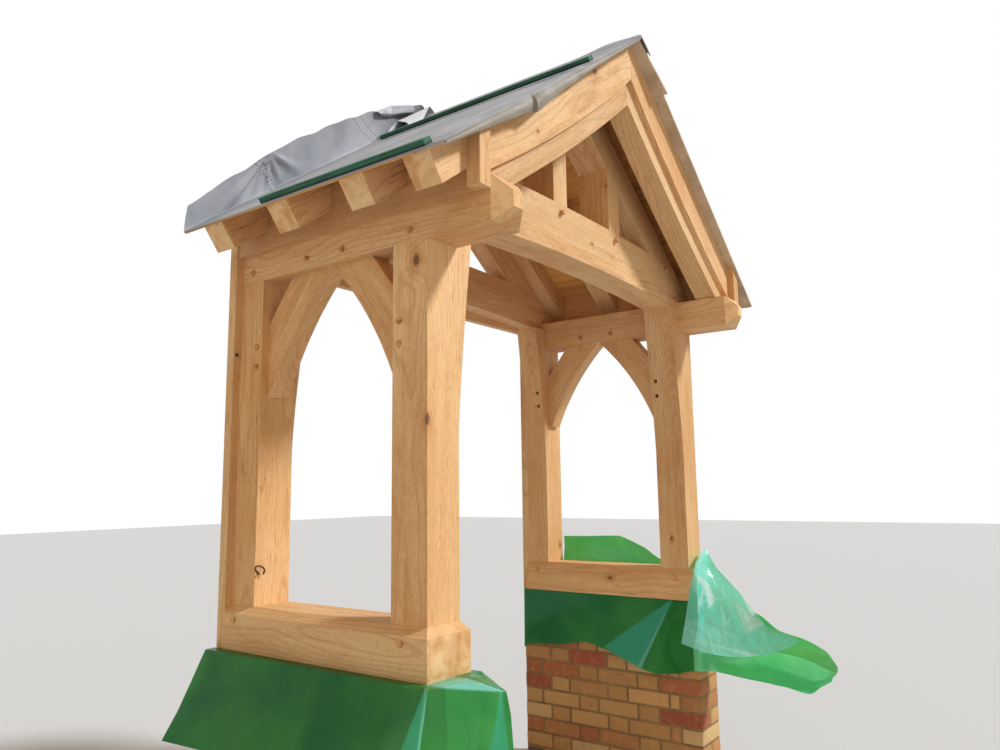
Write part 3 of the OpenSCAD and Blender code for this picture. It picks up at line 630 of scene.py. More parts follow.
# The grid moved along its normals by wrinkle(v, u, point), where v counts rows and u columns from 0 to 1
def ruffled(grid, wrinkle):
    height, width = len(grid), len(grid[0])
    moved = []
    for i in range(height):
        row = []
        for j in range(width):
            du = grid[i][min(j + 1, width - 1)] - grid[i][max(j - 1, 0)]
            dv = grid[min(i + 1, height - 1)][j] - grid[max(i - 1, 0)][j]
            normal = du.cross(dv)
            if normal.length > 0:
                normal.normalize()
            row.append(grid[i][j] + normal * wrinkle(i / (height - 1), j / (width - 1), grid[i][j]))
        moved.append(row)
    return moved


# One piece of cloth from one or more grids of points, with its flat place in metres as a UV map. Gives the
# piece, its area and its flat size: its longest row and column, the column within what the area allows.
def sheet_mesh(name, grids, *materials):
    verts, faces, place = [], [], []
    width_seen = length_seen = 0.0
    for grid in grids:
        start, width = len(verts), len(grid[0])
        down = [0.0] * width
        for i, row in enumerate(grid):
            across = 0.0
            for j, point in enumerate(row):
                if j:
                    across += (point - row[j - 1]).length
                if i:
                    down[j] += (point - grid[i - 1][j]).length
                place.append((across, down[j]))
                verts.append((point.x, min(point.y, -0.001), point.z))
            width_seen = max(width_seen, across)
        length_seen = max(length_seen, *down)
        for i in range(start, len(verts) - width, width):
            faces += [(i + j, i + j + 1, i + width + j + 1, i + width + j) for j in range(width - 1)]
    mesh = bpy.data.meshes.new(name)
    mesh.from_pydata(verts, [], faces)
    mesh.update()
    piece = piece_of(name, mesh, True)
    uv = mesh.uv_layers.new(name="flat")
    for loop in mesh.loops:
        uv.data[loop.index].uv = place[loop.vertex_index]
    for material in materials:
        mesh.materials.append(material)
    area = sum(p.area for p in mesh.polygons)
    return piece, area, (width_seen, clamp(length_seen, area / width_seen * 1.05, area / width_seen / 0.4))


# Gives each face of a sheet the material that choose(grid's number, row, column) names
def paint(piece, grids, choose):
    picked = [choose(which, i, j) for which, grid in enumerate(grids)
              for i in range(len(grid) - 1) for j in range(len(grid[0]) - 1)]
    for polygon, index in zip(piece.data.polygons, picked):
        polygon.material_index = index


def ridged(point, octaves=3):
    total, amp, size = 0.0, 1.0, 1.0
    for _ in range(octaves):
        total += amp * (1.0 - abs(noise.noise(point * size)) * 2.2)
        amp *= 0.5
        size *= 2.1
    return total


# Noise at a place given by its three coordinates
def wave(x, y, z):
    return noise.noise(Vector((x, y, z)))


# Crinkles of a sheet, for ruffled
def crinkled(amount, size, seed):
    def wrinkle(v, u, point):
        where = point * size + Vector((seed, seed * 0.7, 0.0))
        return amount * (0.6 * ridged(where) + 0.5 * noise.noise(where * 3.1) + 0.25 * noise.noise(where * 7.3))
    return wrinkle


# Flat place of the dotted seams: how far up each one is, where they start, their slant and their dots
SEAMS = (0.25, 0.435, 0.487, 1.135, 1.168)
SEAM_START = 1.26
SEAM_SLANT = 0.75
SEAM_DOT = 0.019


# Grey breather membrane: a smooth foil with a fine emboss, dotted seams and soft creases
def membrane_material(name, light, dark, seams=False):
    g = graph(name)
    place = g.coordinates()
    flat = g.add("ShaderNodeUVMap", uv_map="flat").outputs[0]
    cloud = g.noise(place, 3.5, 3, 0.55)
    crease = g.noise(place, 7, 2, 0.5, 0.8)
    emboss = g.add("ShaderNodeTexBrick", {
        "Vector": flat, "Scale": 1.0, "Mortar Size": 0.0006, "Brick Width": 0.006, "Row Height": 0.006})
    color = g.mix(g.span(cloud, 0.3, 0.7), light, dark)
    color = g.layers(color, (crease, 0.55, 0.8, 0.2, tuple(min(1.0, c * 1.25) for c in light)))
    if seams:
        across, down = g.split(flat)[:2]
        leant = g.minus(down, g.times(g.minus(across, SEAM_START), SEAM_SLANT))
        dots = g.times(g.span(g.math("FRACT", g.times(across, 1 / SEAM_DOT)), 0.56, 0.46),
                       g.span(across, SEAM_START, SEAM_START + 0.01))
        near = None
        for line in SEAMS:
            mask = g.span(g.off(leant, line), 0.0042, 0.0026)
            near = mask if near is None else g.math("MAXIMUM", near, mask)
        color = g.stain(color, g.times(near, dots), 0.8, srgb(64, 66, 74))
    height = g.plus(g.times(emboss.outputs["Fac"], -0.12), g.times(crease, 0.8))
    return g.finish(color, g.span(crease, 0.3, 0.7, 0.44, 0.54), g.bump(height, 0.0016), Specular_IOR_Level=0.4)


MEMBRANE = membrane_material("membrane", srgb(172, 174, 181), srgb(142, 145, 154), True)
MEMBRANE_EDGE = membrane_material("membrane_edge", srgb(144, 136, 124), srgb(122, 112, 99))
# Painted light and painted shade: a paler and a darker copy of the grey membrane, for the parts of the loose end
# that face the light and that lie in shade
MEMBRANE_PAINTED_LIGHT = membrane_material("membrane_painted_light", srgb(206, 208, 213), srgb(190, 193, 200))
MEMBRANE_PAINTED_SHADE = membrane_material("membrane_painted_shade", srgb(96, 94, 92), srgb(78, 77, 76))

# Drop of the hem over the verge, and rise of the loose edge against the house wall, by the level distance
# from the ridge
HEM = ((0.0, 0.016), (0.2, 0.022), (0.364, 0.027), (0.518, 0.042), (0.657, 0.050), (0.78, 0.066),
       (0.815, 0.070), (0.84, 0.060), (1.0, 0.041), (1.15, 0.026), (1.254, 0.018))
UPSTAND = ((0.0, 0.075), (0.044, 0.088), (0.2, 0.138), (0.367, 0.162), (0.49, 0.172), (0.635, 0.178),
           (0.795, 0.172), (0.93, 0.160), (1.0, 0.150), (1.12, 0.125), (1.30, 0.085))
# Where down the slope the hem has its crisp fold, and the middle of the fan of creases in the upstand
FOLD = 0.82 / COS
FAN = 1.14
FAN_CREASES = ((-0.95, 0.10), (-0.55, 0.07), (-0.15, 0.06), (0.35, 0.08), (0.9, 0.10))
# Height of the membrane over the boards' underside, and how far the left one laps over the ridge
CLOTH = BOARD + 0.0012
LAP = 0.09
# Columns of the grid up from the hem's edge, over the slope and up the wall; rows down the slope
HEM_COLUMNS = 9
SLOPE_COLUMNS = 120
WALL_COLUMNS = 20
SLOPE_ROWS = 150
# Strips down the slope that the battens press flat
BATTEN_STRIPS = ((0.494, 0.532), (1.512, 1.551))


# Height at x of a line through points
def table(points, x):
    for (x0, y0), (x1, y1) in zip(points, points[1:]):
        if x <= x1:
            return y0 + (y1 - y0) * max(0.0, (x - x0) / (x1 - x0))
    return points[-1][1]


# A place on one slope as on_slope gives it, also beyond the ridge and over the eaves' edge
def over_roof(side, along, y, out):
    if along < 0:
        return Vector((side * along * COS, y, RIDGE + CLOTH / COS + out + along * SIN + 0.002))
    if along > SLOPE:
        over = along - SLOPE
        return on_slope(side, SLOPE + 0.0015, y, out) + Vector((side * 0.002 * min(over / 0.01, 1), 0, -over))
    return on_slope(side, along, y, out)


# Points of the hem that hangs over the verge, from its edge up
def hem_points(side, along, hem, edge_y, columns):
    pleat = 0.014 * ease_in(along, FOLD - 0.10, FOLD) * (1.0 - ease_in(along, FOLD, FOLD + 0.006))
    for k in range(columns):
        down = hem * (1 - k / columns)
        belly = math.sin(math.pi * min(1.0, down / hem) * 0.75)
        billow = 0.004 + 0.006 * wave(along * 3.5, 9, 2) + 0.0015 * wave(along * 16.0 + down * 30.0, 4, 2)
        point = over_roof(side, along, edge_y - 0.001, CLOTH)
        point.z -= down
        point.y -= belly * (0.006 + max(0.0, billow) + (pleat if side == LEFT else 0.0))
        yield point


# Points across the slope from the verge to the house wall, with the crumples that the battens hold down
def slope_points(side, along, edge_y):
    for k in range(SLOPE_COLUMNS + 1):
        y = edge_y + (-0.006 - edge_y) * k / SLOPE_COLUMNS
        near_verge = ease_in(0.30 - (y - edge_y), 0.0, 0.30) * ease_in(y - edge_y, 0.0, 0.03)
        where = Vector((side * along, y, 0.3))
        crumple = 0.0020 * ridged(where * 3.5, 2) + 0.0005 * noise.noise(where * 18.0)
        pucker = 0.007 * max(0.0, noise.noise(where * 4.5) + 0.25) + 0.0010 * ridged(where * 8.0)
        crumple += near_verge * pucker
        crumple += ease_in(y, -0.18, -0.02) * 0.006 * max(0.0, noise.noise(where * 5.0))
        held = 1.0
        arch = 0.0
        if side == LEFT:
            for low, high in BATTEN_STRIPS:
                held = min(held, ease_in(max(low - along, along - high, 0.0), 0.004, 0.07))
            held = min(held, ease_in(abs(along), 0.0, 0.03) + 0.15)
            arch = 0.011 * math.exp(-((y + 1.09) / 0.10) ** 2) * (1.0 - ease_in(abs(along), 0.0, 0.16))
        yield over_roof(side, along, y, CLOTH + max(0.0, crumple) * held + arch)


# Points of the loose edge that stands up against the house wall, with its folds and its fan of creases
def wall_points(side, along, rise):
    for k in range(1, WALL_COLUMNS + 1):
        t = k / WALL_COLUMNS
        up = t * rise
        tall = 7.7 * side
        fold = 0.026 * wave(along * 4.4 + up * 2.4, up * 2.0, tall)
        fold = (fold + 0.007 * wave(along * 12.0, up * 7.0, tall + 3.0)) * t ** 0.7
        fan = math.atan2(along - FAN, max(0.004, 0.175 - up))
        reach = 0.017 * ease_in(0.34 - abs(along - FAN), 0.0, 0.2) * math.sin(math.pi * t * 0.9)
        for angle, width in FAN_CREASES:
            fold += reach * math.exp(-((fan - angle) / width) ** 2)
        lean = 0.030 * t * t * (0.6 + wave(along * 2.6, 0.4, 5))
        point = over_roof(side, along, -0.005, CLOTH)
        point.z += up
        point.y = -0.005 - max(0.0, fold) - max(0.0, lean)
        yield point


def membrane(side):
    name = "membrane_cloth_left" if side == LEFT else "membrane_cloth_right"
    lap = LAP if side == LEFT else 0.0
    columns = HEM_COLUMNS if side == LEFT else 2
    edge_y = VERGE_Y - 0.003 if side == LEFT else -1.205
    rows = [(-lap + (SLOPE + lap) * i / SLOPE_ROWS) for i in range(SLOPE_ROWS + 1)]
    rows += [SLOPE + over for over in (0.002, 0.004, 0.007)]
    rows += [FOLD + step for step in (-0.006, -0.003, 0.003, 0.006)]
    grid = []
    for along in sorted(rows):
        level = clamp(along, 0.0, SLOPE) * COS
        hem = table(HEM, level) * (1.0 + 0.10 * wave(along * 7.0, side * 3.0, 1.7)) if side == LEFT else 0.003
        rise = (table(UPSTAND, level) if along >= 0 else 0.05) + 0.010 * wave(along * 9, 3.3, side)
        grid.append([*hem_points(side, along, hem, edge_y, columns), *slope_points(side, along, edge_y),
                     *wall_points(side, along, rise)])
    piece, area, flat = sheet_mesh(name, [grid], MEMBRANE, MEMBRANE_EDGE)
    paint(piece, [grid], lambda which, i, j: 1 if j < columns - 1 else 0)
    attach(piece, "root")
    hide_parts("membrane_left" if side == LEFT else "membrane_right")


ROLLED = lattice(
    ((-330, -22, 3222), (-275, -26, 3256), (-231, -30, 3287), (-227, -31, 3289), (-150, -31, 3323),
     (-80, -32, 3353), (-66, -34, 3345)),
    ((-318, -34, 3220), (-276, -44, 3240), (-236, -44, 3262), (-230, -40, 3263), (-152, -48, 3300),
     (-82, -50, 3330), (-68, -46, 3330)),
    ((-305, -40, 3216), (-275, -40, 3226), (-242, -46, 3238), (-236, -40, 3238), (-158, -48, 3276),
     (-90, -48, 3306), (-78, -44, 3312)),
    ((-300, -28, 3214), (-272, -30, 3218), (-240, -32, 3228), (-234, -32, 3230), (-156, -34, 3268),
     (-92, -34, 3296), (-82, -32, 3300)))
TENT = lattice(
    ((-235, -158, 3128), (-200, -152, 3150), (-165, -145, 3172), (-115, -128, 3204)),
    ((-208, -146, 3147), (-176, -138, 3170), (-140, -128, 3196), (-102, -112, 3222)),
    ((-212, -122, 3181), (-160, -112, 3214), (-100, -98, 3256), (-38, -82, 3300)),
    ((-237, -86, 3190), (-150, -74, 3252), (-55, -60, 3322), (36, -48, 3388)),
    ((-284, -90, 3140), (-180, -60, 3212), (-40, -36, 3310), (92, -30, 3386)),
    ((-330, -112, 3086), (-220, -60, 3166), (-60, -30, 3286), (120, -26, 3362)),
    ((-350, -130, 3062), (-250, -70, 3140), (-90, -34, 3262), (60, -24, 3312)))


# Loose end of the left membrane by the wall: a flat roll and a small tent standing on the slope
def loose_end():
    grids = [ruffled(surface(points, 8, 10, tension), crinkled(0.0007, 9.0, 2.0))
             for points, tension in ((ROLLED, 0.12), (TENT, 0.10))]
    piece, area, flat = sheet_mesh("membrane_end", grids, MEMBRANE_PAINTED_LIGHT, MEMBRANE_PAINTED_SHADE, MEMBRANE)

    # The tent's back, past its fourth row of points, is painted shade but for its lower end; the roll's top is
    # plain membrane, and the rest of the roll and the tent has painted light
    def choose(which, i, j):
        if which == 1 and i >= 3 * 8:
            return 0 if j < 13 else 1
        return 2 if which == 0 and j >= 3 * 10 else 0

    paint(piece, grids, choose)
    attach(piece, "root")


BATTEN_WIDTH = 0.038
BATTEN_DEPTH = 0.019


# Green treated softwood, its lower edge painted near black as a painted shadow of the gap under it
def treated():
    g = graph("treated_batten")
    place = g.coordinates()
    grain = g.noise(g.stretch(place, (160, 7, 160)), 1.0, 3, 0.6)
    color = g.mix(g.span(grain, 0.35, 0.68), srgb(38, 104, 74), srgb(20, 68, 50))
    color = g.layers(color, (g.noise(place, 7, 3, 0.6), 0.45, 0.75, 0.5, srgb(46, 112, 92)))
    # Painted shadow: near black along the batten's lower edge, for the shade in the gap under it
    x, _, z = g.split(place)
    out = g.minus(g.times(g.minus(z, RIDGE), COS), g.times(x, SIN))
    lifted = g.span(x, -0.6, -0.5, 0.0, 0.006)
    color = g.layers(color, (g.minus(out, lifted), BOARD + 0.010, BOARD + 0.006, 0.85, srgb(14, 22, 20)))
    return g.finish(color, 0.7, g.bump(grain, 0.001))


# Two treated battens that hold the membrane down on the left slope
def battens():
    bm = bmesh.new()
    for top, y0, y1, lift in ((0.40 / COS, -1.244, -0.178, 0.006),
                              (SLOPE - BATTEN_WIDTH, -1.172, -0.446, 0.0015)):
        low = top + BATTEN_WIDTH
        outline = ((top, y0), (low, y0), (low, y1), (top, y1))
        under = BOARD + lift
        add_box(bm, slab(LEFT, outline, under, under + BATTEN_DEPTH), 0.0012, cuts=12)
    for vert in bm.verts:
        vert.co.z += 0.0012 * wave(vert.co.y * 3.0, vert.co.x, 2.0)
    piece = from_bmesh("roof_battens", bm)
    piece.data.materials.append(treated())
    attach(piece, "root")
    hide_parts("battens")


# Share of the light that the polythene lets through
THROUGH = 0.34


# Green polythene: glossy, lets some light through, crinkled; over its colour lie painted highlights and painted
# reflections, flat triangles where folds would catch the sky
def polythene(name, deep, pale, shine, coat, crisp, painted_highlights=()):
    g = graph(name)
    place = g.coordinates()
    cloud = g.noise(place, 3.6, 3, 0.55, 0.5)
    crinkle = g.noise(place, 8, 2, 0.5, 0.9)
    small = g.noise(place, 26, 2, 0.5, 0.8)
    fine = g.noise(place, 60, 2, 0.5, 0.4)
    color = g.mix(g.span(cloud, 0.32, 0.7), deep, pale)
    # Painted highlights and painted reflections: each triangle lays its colour over the sheet's own
    for planes, shade, amount in painted_highlights:
        mask = None
        for spot, across, soft in planes:
            inside = g.span(g.vector("DOT_PRODUCT", g.vector("SUBTRACT", place, spot), across), -soft, soft)
            mask = inside if mask is None else g.times(mask, inside)
        color = g.stain(color, mask, amount, shade)
    color = g.layers(color, (g.noise(place, 170, 4, 0.75), 0.58, 0.8, 0.08, srgb(150, 140, 100)))
    height = g.plus(g.times(small, 0.5 * crisp), g.times(fine, 0.08))
    bump = g.bump(g.plus(g.times(crinkle, 2.2 * crisp), height), 0.0022)
    face = g.shader("ShaderNodeBsdfPrincipled", Base_Color=color, Roughness=g.span(cloud, 0.3, 0.7, 0.17, 0.28),
                    Specular_IOR_Level=shine, Coat_Weight=coat, Coat_Roughness=0.07, Normal=bump)
    through = g.mix(1.0, color, (0.78, 1.0, 0.62), "MULTIPLY")
    back = g.shader("ShaderNodeBsdfTranslucent", Color=through, Normal=bump)
    both = g.add("ShaderNodeMixShader", {0: THROUGH, 1: face, 2: back})
    return g.close("ShaderNodeOutputMaterial", both.outputs[0])


# A triangle seen along the X axis, or from the front, as three half-planes with a soft edge
def triangle(corners, from_front, soft):
    planes = []
    for i in range(3):
        a, b, c = (corners[(i + k) % 3] for k in range(3))
        edge = (b - a).normalized()
        inward = Vector((-edge.z, 0, edge.x)) if from_front else Vector((0, -edge.z, edge.y))
        if inward.dot(c - a) < 0:
            inward = -inward
        planes.append((tuple(a), tuple(inward), soft))
    return planes


# Painted highlights and painted reflections of one sheet, as triangles from rows of their colour, strength,
# softness of the edge and three corners in millimetres
def painted_glints(from_front, *rows):
    return [(triangle(lattice(corners)[0], from_front, soft / 1000), shade, amount)
            for shade, amount, soft, *corners in rows]


# Colours of painted highlights and painted reflections on the polythene
CYAN = srgb(68, 188, 156)
SKY = srgb(150, 232, 222)
WHITE = srgb(216, 250, 255)
# Painted shade: a teal colour on the side of the pale flap that is turned from the light
FLAP_PAINTED_SHADE = [([((0.97, -1.31, 0.70), (0.0, -0.97, 0.24), 0.012)], srgb(78, 206, 166), 0.85)]
# The skirt's triangles are painted reflections of the sky on its flat folds
SKIRT_GREEN = polythene("polythene_skirt", srgb(30, 128, 66), srgb(60, 154, 80), 0.22, 0.0, 0.5, painted_glints(
    False,
    (CYAN, 0.88, 3, (868, -884, 902), (868, -500, 640), (868, -716, 545)),
    (SKY, 0.42, 3, (868, -884, 902), (868, -716, 545), (868, -690, 545)),
    (srgb(62, 146, 110), 0.5, 30, (868, -4, 930), (868, -4, 700), (868, -500, 900))))
DEEP_GREEN = polythene("polythene_deep", srgb(30, 122, 60), srgb(60, 146, 70), 0.22, 0.0, 0.5)
# The front's triangles are painted highlights and painted reflections on the corner wedge, on the pleats and along
# the fold at the top
FRONT_GREEN = polythene("polythene_front", srgb(48, 142, 68), srgb(68, 160, 74), 0.3, 0.1, 0.9, painted_glints(
    True,
    (srgb(60, 174, 128), 0.8, 3, (-1108, -1040, 915), (-1290, -1040, 640), (-1232, -1080, 640)),
    (SKY, 0.8, 3, (-1106, -1040, 915), (-1246, -1080, 640), (-1224, -1080, 640)),
    (srgb(58, 168, 126), 0.8, 4, (-852, -1110, 885), (-1040, -1140, 600), (-985, -1150, 600)),
    (srgb(72, 184, 142), 0.85, 4, (-852, -1110, 885), (-940, -1140, 600), (-885, -1150, 600)),
    (SKY, 0.5, 3, (-852, -1110, 885), (-980, -1140, 600), (-966, -1150, 600)),
    (SKY, 0.75, 4, (-1110, -1050, 913), (-840, -1110, 853), (-985, -1090, 920))))
# Painted reflection: the flap's very pale cyan stands in for the sky on the glossy sheet, and its white triangles
# are painted highlights along its folds
FLAP_PAINTED_SHEEN = polythene("polythene_painted_sheen", srgb(98, 222, 196), srgb(142, 242, 228), 0.9, 0.8, 2.4, FLAP_PAINTED_SHADE + painted_glints(
    False,
    (WHITE, 0.9, 3, (890, -1010, 1040), (920, -1052, 862), (920, -1072, 900)),
    (WHITE, 0.6, 2, (910, -1030, 1010), (920, -1018, 850), (920, -1026, 845)),
    (WHITE, 0.9, 3, (1000, -1120, 1030), (1000, -1262, 842), (1000, -1232, 835)),
    (WHITE, 0.7, 16, (1000, -1160, 890), (1000, -1285, 800), (1000, -1215, 760)),
    (WHITE, 0.6, 4, (950, -1020, 720), (980, -1290, 668), (950, -1240, 664)),
    (WHITE, 0.35, 4, (950, -1080, 940), (980, -1130, 800), (950, -1118, 790))))
# Painted light: the lip is a paler green than the rest of the tongue, for the light that falls on it and through
# it
LIP_GREEN = polythene("polythene_lip", srgb(96, 212, 148), srgb(124, 226, 168), 0.5, 0.6, 1.2)
LEAF_GREEN = polythene("polythene_leaf", srgb(74, 170, 102), srgb(106, 192, 114), 0.5, 0.2, 0.7)


# Left sheet along the wall, as x and z from the sill down to the hem, at these distances from the house
SIDE_ROWS = ((-1.066, 0.9018), (-1.104, 0.9010), (-1.119, 0.872), (-1.152, 0.810),
             (-1.200, 0.722), (-1.248, 0.634))
SIDE_PLACES = (-0.006, -0.25, -0.5, -0.75, -0.94)
# Its columns from there round the corner to the inner end, each from the sill down to the hem
CORNER = lattice(
    ((-1060, -1000, 902), (-1085, -1003, 905), (-1112, -1037, 907), (-1155, -1036, 842), (-1204, -1035, 774),
     (-1275, -1040, 645)),
    ((-1054, -1001, 902), (-1083, -1020, 907), (-1109, -1045, 906), (-1141, -1063, 841), (-1176, -1078, 772),
     (-1240, -1100, 640)),
    ((-1050, -1001, 902), (-1078, -1026, 906), (-1104, -1048, 903), (-1126, -1052, 838), (-1152, -1060, 770),
     (-1196, -1070, 638)),
    ((-1030, -1002, 902.5), (-1058, -1050, 911), (-1076, -1081, 908), (-1088, -1096, 842), (-1098, -1108, 760),
     (-1116, -1124, 636)),
    ((-990, -1002, 902.5), (-1000, -1060, 912), (-1004, -1093, 906), (-1008, -1108, 838), (-1014, -1122, 752),
     (-1020, -1138, 632)),
    ((-935, -1002, 902.5), (-930, -1060, 903), (-925, -1106, 888), (-950, -1112, 822), (-985, -1122, 735),
     (-1010, -1130, 628)),
    ((-895, -1001, 902), (-880, -1058, 894), (-862, -1112, 862), (-892, -1136, 800), (-932, -1156, 722),
     (-962, -1176, 626)),
    ((-884, -1001, 902), (-868, -1050, 893), (-856, -1114, 860), (-872, -1120, 796), (-895, -1128, 714),
     (-915, -1138, 626)),
    ((-872, -1000, 902), (-855, -1040, 892), (-843, -1120, 857), (-848, -1140, 792), (-860, -1156, 708),
     (-868, -1172, 626)),
    ((-858, -985, 901), (-832, -1020, 898), (-830, -1104, 852), (-822, -1108, 776), (-812, -1114, 690),
     (-806, -1118, 630)),
    ((-856, -960, 900), (-822, -985, 896), (-822, -1040, 852), (-814, -1046, 776), (-808, -1050, 690),
     (-802, -1054, 640)))
SIDE_STEPS = 16


# Left sheet: from under the sill out over the wall's outer side, round the front corner and across the front
def left_sheet():
    rows = []
    for depth, (x, z) in enumerate(SIDE_ROWS):
        row = []
        for y in SIDE_PLACES:
            sway = 0.012 * math.sin(y * 9.0 + 1.0) if depth == 5 else 0.0
            slant = 0.018 * depth / 5 if y > -0.2 else 0.0
            row.append(Vector((x - sway, y + slant, z)))
        rows.append(row + [column[depth] for column in CORNER])
    grid = surface(rows, 14, SIDE_STEPS, 0.05)

    def wrinkle(v, u, point):
        if v < 0.18:
            return 0.0
        side = 1.0 - ease_in(u, 0.28, 0.36)
        drape = 0.004 * side * wave(0.0, point.y * 7.5 + point.z * 1.5, point.z * 1.2)
        return ease_in(v, 0.18, 0.45) * (crinkled(0.0012, 5.0, 3.0)(v, u, point) + drape)

    grids = [ruffled(grid, wrinkle)]
    piece, area, flat = sheet_mesh("cover_left", grids, DEEP_GREEN, FRONT_GREEN)
    paint(piece, grids, lambda which, i, j: 1 if j >= len(SIDE_PLACES) * SIDE_STEPS else 0)
    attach(piece, "root")
    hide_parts("sheet_left")


# Right sheet: the skirt's places along the sill and its hem below them, the flap, the tongue, and the part
# that stands up behind the sill
SKIRT_TOP = (-0.004, -0.112, -0.24, -0.424, -0.711, -0.882, -0.903, -0.934, -0.980)
SKIRT_HEM = lattice((
    (872, -4, 586), (868, -43, 614), (860, -234, 624), (868, -388, 654), (862, -514, 628), (825, -735, 565),
    (845, -804, 546), (862, -900, 557), (873, -996, 582)))[0]
FLAP = lattice(
    ((1000, -1010, 1138), (1004, -1010, 1137), (1010, -1010, 1136), (1018, -1010, 1134), (1024, -1010, 1132),
     (1028, -1010, 1130), (1030, -1012, 1127)),
    ((878, -1014, 1080), (900, -1016, 1076), (920, -1018, 1073), (969, -1020, 1064), (1000, -1023, 1057),
     (1008, -1043, 1053), (1013, -1063, 1049)),
    ((856, -985, 955), (856, -1022, 950), (914, -1028, 946), (958, -1052, 939), (975, -1091, 936),
     (992, -1134, 934), (1009, -1177, 933)),
    ((854, -958, 823), (854, -1024, 819), (890, -1038, 815), (918, -1090, 808), (945, -1162, 802),
     (972, -1229, 799), (999, -1295, 797)),
    ((832, -940, 705), (834, -1000, 688), (839, -1040, 675), (875, -1141, 660), (919, -1243, 664),
     (971, -1346, 685), (1032, -1444, 735)))
TONGUE = lattice(
    ((870, -975, 893), (880, -1009, 893), (1062, -1024, 880), (1002, -1250, 847), (1012, -1349, 776),
     (1040, -1455, 742), (1062, -1540, 694), (1062, -1580, 640)),
    ((869, -975, 820), (878, -1010, 820), (1066, -1026, 800), (1058, -1205, 770), (1058, -1352, 728),
     (1068, -1460, 700), (1066, -1545, 664), (1064, -1586, 626)),
    ((868, -980, 725), (875, -1012, 725), (984, -1050, 712), (1080, -1156, 685), (1080, -1345, 673),
     (1070, -1459, 656), (1056, -1540, 630), (1052, -1586, 610)),
    ((866, -985, 633), (870, -1015, 633), (944, -1040, 621), (1060, -1132, 579), (1070, -1295, 579),
     (1060, -1411, 569), (1044, -1486, 558), (1032, -1570, 588)),
    ((865, -985, 580), (870, -1015, 578), (940, -1048, 571), (960, -1189, 555), (970, -1368, 537),
     (980, -1477, 518), (990, -1528, 551), (1000, -1574, 580)))
LIFTED = lattice(
    ((1083, -144, 1176), (1084, -314, 1180), (1083, -501, 1185), (1083, -647, 1126), (1080, -736, 1072),
     (1080, -980, 1068)),
    ((1086, -144, 1115), (1092, -314, 1116), (1090, -501, 1120), (1086, -600, 1098), (1081, -738, 1058),
     (1081, -980, 1050)),
    ((1083, -140, 1053), (1084, -309, 1052), (1083, -495, 1052), (1083, -600, 1050), (1082, -734, 1044),
     (1082, -980, 1030)),
    ((1084, -120, 980), (1088, -309, 984), (1086, -495, 980), (1085, -600, 980), (1084, -734, 982),
     (1083, -980, 980)),
    ((1083, -110, 905), (1084, -309, 905), (1083, -495, 905), (1083, -600, 905), (1083, -734, 905),
     (1083, -990, 905)))
# Rows of faces at the foot of the tongue that are its lip, painted a paler green as painted light
LIP_ROWS = 22


# Crinkles that fade out towards the first rows and columns of a grid
def fading(v_low, v_high, u_low, u_high, amount, size, seed):
    wrinkle = crinkled(amount, size, seed)
    return lambda v, u, p: ease_in(v, v_low, v_high) * ease_in(u, u_low, u_high) * wrinkle(v, u, p)


# Right sheet: a skirt inside the wall, a pale flap in front of the sill, a folded tongue in front of the wall
def right_sheet():
    skirt = [[Vector((0.905, y, 0.9005)) for y in SKIRT_TOP]]
    for t in (0.0, 0.12, 0.4, 0.7, 1.0):
        row = []
        for y, low in zip(SKIRT_TOP, SKIRT_HEM):
            point = Vector((0.877, y, 0.8985)).lerp(low, t)
            point.x += 0.004 * math.sin(t * math.pi) * math.sin(y * 11)
            row.append(point)
        skirt.append(row)
    grids = [
        ruffled(surface(skirt, 10, 14, 0.10), fading(0.2, 0.5, -2, -1, 0.0014, 5.0, 9.0)),
        ruffled(surface(FLAP, 22, 20, 0.18), fading(0.05, 0.4, 0.02, 0.25, 0.0046, 7.0, 4.0)),
        ruffled(surface(TONGUE, 12, 14, 0.42), fading(0.0, 0.2, 0.2, 0.4, 0.0030, 6.0, 5.0)),
    ]
    piece, area, flat = sheet_mesh("cover_right", grids, SKIRT_GREEN, FLAP_PAINTED_SHEEN, LEAF_GREEN, LIP_GREEN)
    lip = len(grids[2]) - 1 - LIP_ROWS
    paint(piece, grids, lambda which, i, j: 3 if which == 2 and i >= lip else which)
    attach(piece, "root")
    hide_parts("sheet_right")

    grid = ruffled(surface(LIFTED, 14, 18, 0.18), crinkled(0.00156, 6.0, 1.0))
    piece, area, flat = sheet_mesh("cover_lifted", [grid], LEAF_GREEN)
    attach(piece, "root")


# Closed skin over rings of points that all have the same count
def skin(bm, rings):
    count = len(rings[0])
    for low, high in zip(rings, rings[1:]):
        for k in range(count):
            bm.faces.new((low[k], low[(k + 1) % count], high[(k + 1) % count], high[k]))
    bm.faces.new(list(reversed(rings[0])))
    bm.faces.new(rings[-1])


# One hand-shaved oak peg: eight-sided, slightly turned, leaning a little, with eased ends
def peg_stub(bm, start, end, radius, rng):
    start, end = Vector(start), Vector(end)
    length = (end - start).length
    axis = (end - start).normalized()
    side = axis.orthogonal().normalized()
    other = axis.cross(side)
    turn = rng.uniform(0, 1)
    lean = Vector([rng.uniform(-1, 1) for _ in range(3)]) * 0.0006
    rings = []
    for at, factor in ((0.0, 0.80), (0.0016, 0.97), (length - 0.0016, 0.97), (length, 0.80)):
        ring = []
        for k in range(8):
            angle = 2 * math.pi * (k + turn) / 8
            r = radius * factor * (1.0 + 0.05 * math.sin(k * 2.7 + turn * 6))
            point = start + axis * at + side * r * math.cos(angle) + other * r * math.sin(angle)
            ring.append(bm.verts.new(point + lean * (at / length)))
        rings.append(ring)
    skin(bm, rings)


